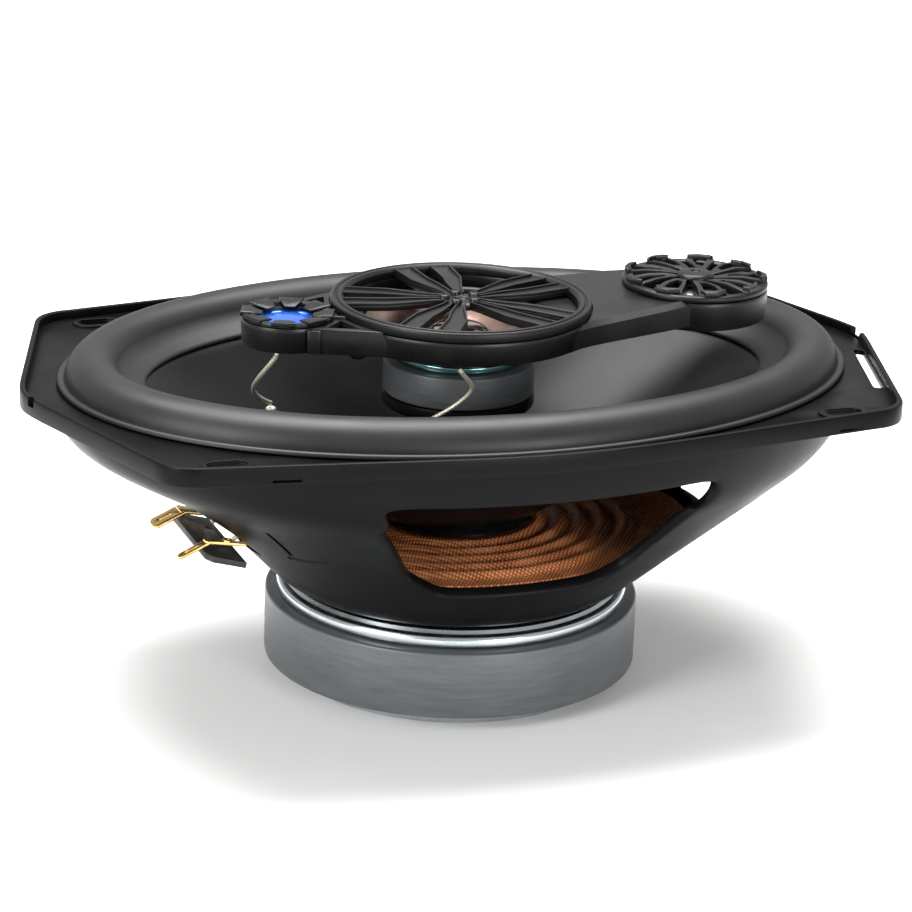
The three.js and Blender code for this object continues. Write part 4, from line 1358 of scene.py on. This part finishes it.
@dataclass
class TweeterGrille:
    """Rim with a turbine of nine hollow blades round a small hub."""

    centre: Point = (67.0, 0.0)
    blades: int = 9

    def build(self) -> None:
        """Makes the grille as one moulding."""
        low, high = extent("tweeter_grille")
        radius = (high.x - low.x) / 2
        base = low.z
        rim = turned("rim", [
            (17.0, base), (radius, base), (radius, base + 1.0), (radius - 0.5, base + 1.5),
            (17.6, base + 1.5),
            (17.0, base + 1.0),
        ], 120, Ends.BRIDGED, self.centre)
        soften(rim, 0.12, 2)
        pieces = [rim]
        outer = [(4.2, -4), (8.5, 2), (13.0, 7), (18.2, 9), (19.3, 14), (19.3, 24), (17.6, 34), (13.0, 34),
                 (8.4, 29), (4.8, 20)]
        hollow = [(8.6, 12), (12.6, 13.5), (16.9, 14.5), (17.7, 17.5), (17.7, 23), (16.5, 29), (12.8, 28.5),
                  (9.2, 24)]
        for i in range(self.blades):
            angle = 2 * math.pi * i / self.blades
            blade = plate("blade", [polar(outer, angle, self.centre), polar(hollow, angle, self.centre)],
                          base + 0.2, base + 2.1, 0.22)
            rib = plate("rib", [polar([(17.9, 10), (19.4, 14), (19.4, 24), (17.9, 33), (17.2, 32), (18.0, 22),
                                       (17.3, 12)], angle, self.centre)], base + 1.4, base + 3.0, 0.3)
            for piece in (blade, rib):
                for vertex in piece.data.vertices:
                    reach = math.hypot(vertex.co.x / MM - self.centre[0], vertex.co.y / MM - self.centre[1])
                    if vertex.co.z > (base + 1.2) * MM:
                        vertex.co.z += (0.9 - abs(reach - 11.5) * 0.13) * MM
            pieces += [blade, rib]
        hub = turned("hub", [
            (4.9, base + 0.2), (4.9, base + 2.4), (4.3, base + 3.0), (2.2, base + 3.4), (1.3, base + 3.4),
            (1.1, base + 2.9), (0.2, base + 2.8),
        ], 48, Ends.CAPPED, self.centre)
        soften(hub, 0.15, 2)
        grille = joined("tweeter_turbine_grille", [*pieces, hub])
        tidy(grille, 32.0)
        dress(grille, POD_ABS, "black_plastic", FRAME_BODY, "tweeter_grille")


@dataclass
class SuperTweeterGrille:
    """Low rim with eight blocky teeth round the open dome."""

    centre: Point = (-47.6, 0.0)
    teeth: int = 8

    def build(self) -> None:
        """Makes the grille as one moulding."""
        low, high = extent("super_tweeter_grille")
        radius = (high.x - low.x) / 2
        base, top = low.z, high.z
        rim = turned("rim", [
            (radius - 1.9, base), (radius, base), (radius, base + 0.5), (radius - 0.4, base + 0.9),
            (radius - 1.5, base + 0.9), (radius - 1.9, base + 0.5),
        ], 96, Ends.BRIDGED, self.centre)
        pieces = [rim]
        for i in range(self.teeth):
            angle = 2 * math.pi * (i + 0.5) / self.teeth
            outline = around([
                (6.4, -1.4), (9.4, -2.8), (radius, -3.2), (radius, 3.2), (9.4, 2.8), (6.4, 1.4),
            ], angle, self.centre)
            tooth = plate("tooth", [outline], base, top, 0.4)
            for vertex in tooth.data.vertices:
                reach = math.hypot(vertex.co.x / MM - self.centre[0], vertex.co.y / MM - self.centre[1])
                if vertex.co.z > (base + 0.7) * MM:
                    vertex.co.z -= max(0.0, 10.4 - reach) * 0.22 * MM
            pieces.append(tooth)
        grille = joined("super_tweeter_toothed_grille", pieces)
        tidy(grille, 32.0)
        dress(grille, POD_ABS, "black_plastic", FRAME_BODY, "super_tweeter_grille")


# ------------------------------------------------------------------ small drivers
@dataclass
class Midrange:
    """The midrange driver that hangs in the pod: motor, frame, bronze cone, roll and dome."""

    steps: int = 128

    def build_motor(self) -> None:
        """Makes the cup, the ferrite and the zinc plate."""
        low, high = extent("midrange_yoke")
        cup_top, pole = 77.3, 6.6
        cup = turned("midrange_cup", [
            (high.x - 1.0, low.z), (high.x, low.z + 1.0), (high.x, cup_top), (pole, cup_top),
            (pole, high.z),
        ], self.steps, Ends.CAPPED)
        soften(cup, 0.3, 2)
        tidy(cup)
        dress(cup, PRESSED_STEEL, "black_steel", FRAME_BODY, "midrange_yoke")
        low, high = extent("midrange_magnet")
        ring = turned("midrange_ferrite", [
            (11.0, low.z), (high.x, low.z), (high.x, high.z), (11.0, high.z),
        ], self.steps, Ends.BRIDGED)
        soften(ring, 0.5, 3)
        tidy(ring)
        dress(ring, FERRITE, "ferrite", FRAME_BODY, "midrange_magnet")
        low, high = extent("midrange_top_plate")
        front = turned("midrange_front_plate", [
            (8.4, low.z), (high.x, low.z), (high.x, high.z), (8.4, high.z),
        ], self.steps, Ends.BRIDGED)
        soften(front, 0.45, 3)
        tidy(front)
        dress(front, TEAL_ZINC, "zinc_plate", FRAME_BODY, "midrange_top_plate")

    def build_cone(self) -> None:
        """Makes the frame, the metallised cone, its roll, coil and shiny dome."""
        low, high = extent("midrange_frame")
        basket = turned("midrange_basket", [
            (10.0, low.z), (17.8, low.z), (20.0, low.z + 1.4), (high.x, 94.6), (high.x, 96.0), (27.6, 96.0),
            (18.6, low.z + 2.6), (10.0, low.z + 1.4),
        ], self.steps, Ends.BRIDGED)
        soften(basket, 0.25, 2, 20)
        tidy(basket)
        dress(basket, POD_ABS, "black_plastic", FRAME_BODY, "midrange_frame")
        under = flowing([(7.9, 7.9, 91.6), (13.0, 13.0, 93.4), (19.0, 19.0, 94.9), (25.0, 25.0, 95.9)], 5)
        over = [(a, b, z + 0.55) for a, b, z in under]
        cone = loft("midrange_cone_film", under + over[::-1], self.steps, Ends.BRIDGED)
        tidy(cone, 60.0)
        dress(cone, BRONZE_FILM, "bronze_cone", MIDRANGE_BODY, "midrange_cone")
        half_turn = [math.pi * i / 12 for i in range(13)]
        arc = [(26.4 + 1.2 * math.cos(t), 96.7 + 1.2 * math.sin(t)) for t in half_turn]
        inner_arc = [(26.4 + 0.7 * math.cos(t), 96.6 + 0.7 * math.sin(t)) for t in half_turn]
        roll = turned("midrange_roll", [(29.6, 96.35), (29.6, 96.8), *arc, (25.3, 96.9), (25.3, 96.4),
                                        *inner_arc[::-1]], self.steps, Ends.BRIDGED)
        tidy(roll, 60.0)
        dress(roll, ROLL_RUBBER, "rubber_roll", None, "midrange_surround")
        hang_between(roll, lambda p: (27.6 - math.hypot(p.x, p.y) / MM) / 2.3)
        low, high = extent("midrange_coil")
        coil = turned("midrange_winding", [(7.2, low.z), (7.9, low.z), (7.9, high.z), (7.2, high.z)], 72,
                      Ends.BRIDGED)
        tidy(coil)
        dress(coil, COIL_WIRE, "copper_coil", MIDRANGE_BODY, "midrange_coil")
        self.build_dome()

    def build_dome(self) -> None:
        """Makes the domed cap."""
        rows = [(8.4, 92.95), (8.3, 93.3), (7.6, 93.7)]
        quarter = [math.pi / 2 * i / 12 for i in range(1, 12)]
        rows += [(7.4 * math.cos(t), 93.7 + 2.2 * math.sin(t)) for t in quarter]
        dome = turned("midrange_cap", rows, 72, Ends.POLE)
        modify(dome, "SOLIDIFY", thickness=0.25 * MM, offset=-1.0)
        tidy(dome, 60.0)
        dress(dome, NICKEL, "bright_nickel", MIDRANGE_BODY, "midrange_dust_dome")

    def build(self) -> None:
        """Makes the driver."""
        self.build_motor()
        self.build_cone()


@dataclass
class SmallTweeters:
    """Dome, magnet and cup of the tweeter, dome and magnet of the super tweeter."""

    def dome(
        self, node: str, skirt: float, roll: float, cap: float, finish: Finish, slot: str, body: str,
    ) -> None:
        """Makes a dome with its little roll.

        Args:
            node: The frame's node.
            skirt: Outer radius of the roll.
            roll: Radius where the roll meets the dome.
            cap: Height of the dome above its foot.
            finish: The dome's finish.
            slot: The record's material slot.
            body: The body that it rides on.
        """
        low, high = extent(node)
        centre = ((low.x + high.x) / 2, (low.y + high.y) / 2)
        middle, half = (skirt + roll) / 2, (skirt - roll) / 2
        foot = low.z + 0.15
        rows = [(middle + half * math.cos(t), foot + half * 0.6 * math.sin(t)) for t in
                (math.pi * i / 8 for i in range(9))]
        quarter = [math.pi / 2 * i / 12 for i in range(1, 12)]
        rows += [(roll * math.cos(t), foot + cap * math.sin(t)) for t in quarter]
        shell = turned(f"{node}_film", rows, 72, Ends.POLE, centre)
        modify(shell, "SOLIDIFY", thickness=0.12 * MM, offset=-1.0)
        tidy(shell, 60.0)
        dress(shell, finish, slot, body, node)

    def slug(self, node: str, finish: Finish, slot: str, profile: Sequence[Point]) -> None:
        """Makes a round magnet or cup from a profile whose heights start at the node's underside."""
        low, high = extent(node)
        centre = ((low.x + high.x) / 2, (low.y + high.y) / 2)
        body = turned(f"{node}_turned", [(r, low.z + z) for r, z in profile], 72, Ends.CAPPED, centre)
        soften(body, 0.12, 2)
        tidy(body)
        dress(body, finish, slot, FRAME_BODY, node)

    def build(self) -> None:
        """Makes both small drivers."""
        self.dome("tweeter_dome", 10.8, 8.6, 1.5, SATIN_DOME, "silver_dome", "tweeter_diaphragm")
        self.dome("super_tweeter_dome", 9.1, 7.2, 1.3, BLUE_DOME, "blue_dome", "super_tweeter_diaphragm")
        low, high = extent("super_tweeter_magnet")
        self.slug("super_tweeter_magnet", NICKEL, "bright_nickel", [(7.2, 0.0), (7.2, high.z - low.z)])
        low, high = extent("tweeter_magnet")
        self.slug("tweeter_magnet", NICKEL, "bright_nickel", [(8.0, 0.0), (8.0, high.z - low.z)])
        self.slug("tweeter_yoke", ZINC, "zinc_plate", [
            (14.0, 0.0), (14.0, 1.9), (11.4, 1.9), (11.4, 0.7), (9.0, 0.7),
        ])


# ------------------------------------------------------------------ leads
@dataclass
class Lead:
    """A braided lead that hangs free between two points, as a mesh tube with its strands in relief."""

    name: str
    node: str
    route: Sequence[Row]
    fixed_z: float
    moving_z: float
    diameter: float = 1.3
    sides: int = 16
    step: float = 0.22
    plait: float = 1.9

    def line(self) -> list[Vector]:
        """Gives the centreline in metres, in equal steps."""
        rough = [Vector(p) * MM for p in flowing(self.route, 40)]
        even = [rough[0]]
        left = self.step * MM
        for start, end in zip(rough, rough[1:]):
            reach = (end - start).length
            while reach >= left:
                start = start + (end - start).normalized() * left
                reach -= left
                left = self.step * MM
                even.append(start.copy())
            left -= reach
        return even

    def build(self) -> None:
        line = self.line()
        mesh = bpy.data.meshes.new(self.name)
        shape = bmesh.new()
        side = (line[1] - line[0]).orthogonal().normalized()
        loops = []
        for i, place in enumerate(line):
            along = (line[min(i + 1, len(line) - 1)] - line[max(i - 1, 0)]).normalized()
            side = (side - along * side.dot(along)).normalized()
            other = along.cross(side)
            phase = 2 * math.pi * i * self.step / self.plait
            loop = []
            for k in range(self.sides):
                t = 2 * math.pi * k / self.sides
                plaited = 0.5 + 0.5 * math.cos(2 * t + phase) * math.cos(2 * t - phase)
                radius = self.diameter / 2 * MM * (0.80 + 0.20 * plaited)
                loop.append(shape.verts.new(place + (side * math.cos(t) + other * math.sin(t)) * radius))
            loops.append(loop)
        for first, second in zip(loops, loops[1:]):
            for k in range(self.sides):
                n = (k + 1) % self.sides
                shape.faces.new((first[k], first[n], second[n], second[k]))
        shape.faces.new(list(reversed(loops[0])))
        shape.faces.new(loops[-1])
        shape.to_mesh(mesh)
        shape.free()
        obj = bpy.data.objects.new(self.name, mesh)
        bpy.context.collection.objects.link(obj)
        tidy(obj, 60.0)
        dress(obj, TINSEL, "braided_lead", None, self.node)
        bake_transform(obj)


def leads() -> list[Lead]:
    """Gives the four leads: two from the pod to the cone, two from the board to the cone."""
    found = [
        Lead("pod_lead_rear_braid", "pod_lead_rear", [
            (-52, -5, 93.2), (-52.4, -4.9, 91.2), (-55.4, -1, 85), (-54.6, 6, 80),
            (-51.4, 13.5, 75.5), (-47, 20.5, 71.5),
            (-44, 24, 69.4)], 93.2, 69.4),
        Lead("pod_lead_front_braid", "pod_lead_front", [
            (-12, -31.8, 93.2), (-11, -31.6, 92), (-7, -28.5, 87), (-9, -25.5, 82.5), (-14, -23, 78.4),
            (-22, -21.5, 74.4), (-33, -22.6, 71.6), (-41, -24, 71.6), (-44, -24, 69.4)], 93.2, 69.4),
    ]
    for side, end in ((1, "rear"), (-1, "front")):
        found.append(Lead(f"tinsel_lead_{end}_braid", f"tinsel_lead_{end}", [
            (-64.9, 8 * side, 42.9), (-62.4, 8.4 * side, 45), (-58, 11 * side, 46.4),
            (-52.4, 15.4 * side, 48.6),
            (-47.2, 20.6 * side, 52.4), (-44, 24 * side, 59.6)], 42.9, 59.6))
    return found


def main() -> None:
    """Builds the speaker piece by piece."""
    logging.basicConfig(level=logging.INFO, format="%(name)s %(message)s")
    studio = Studio()
    studio.camera()
    for lead in leads():
        lead.build()
    for assembly in (
        Motor(), Basket(), Terminal(), MovingCone(), Midrange(), SmallTweeters(), Pod(), MidrangeGrille(),
        TweeterGrille(), SuperTweeterGrille(), studio,
    ):
        log.info("building %s", type(assembly).__name__)
        assembly.build()
    bpy.context.view_layer.update()


if __name__ == "__main__":
    main()
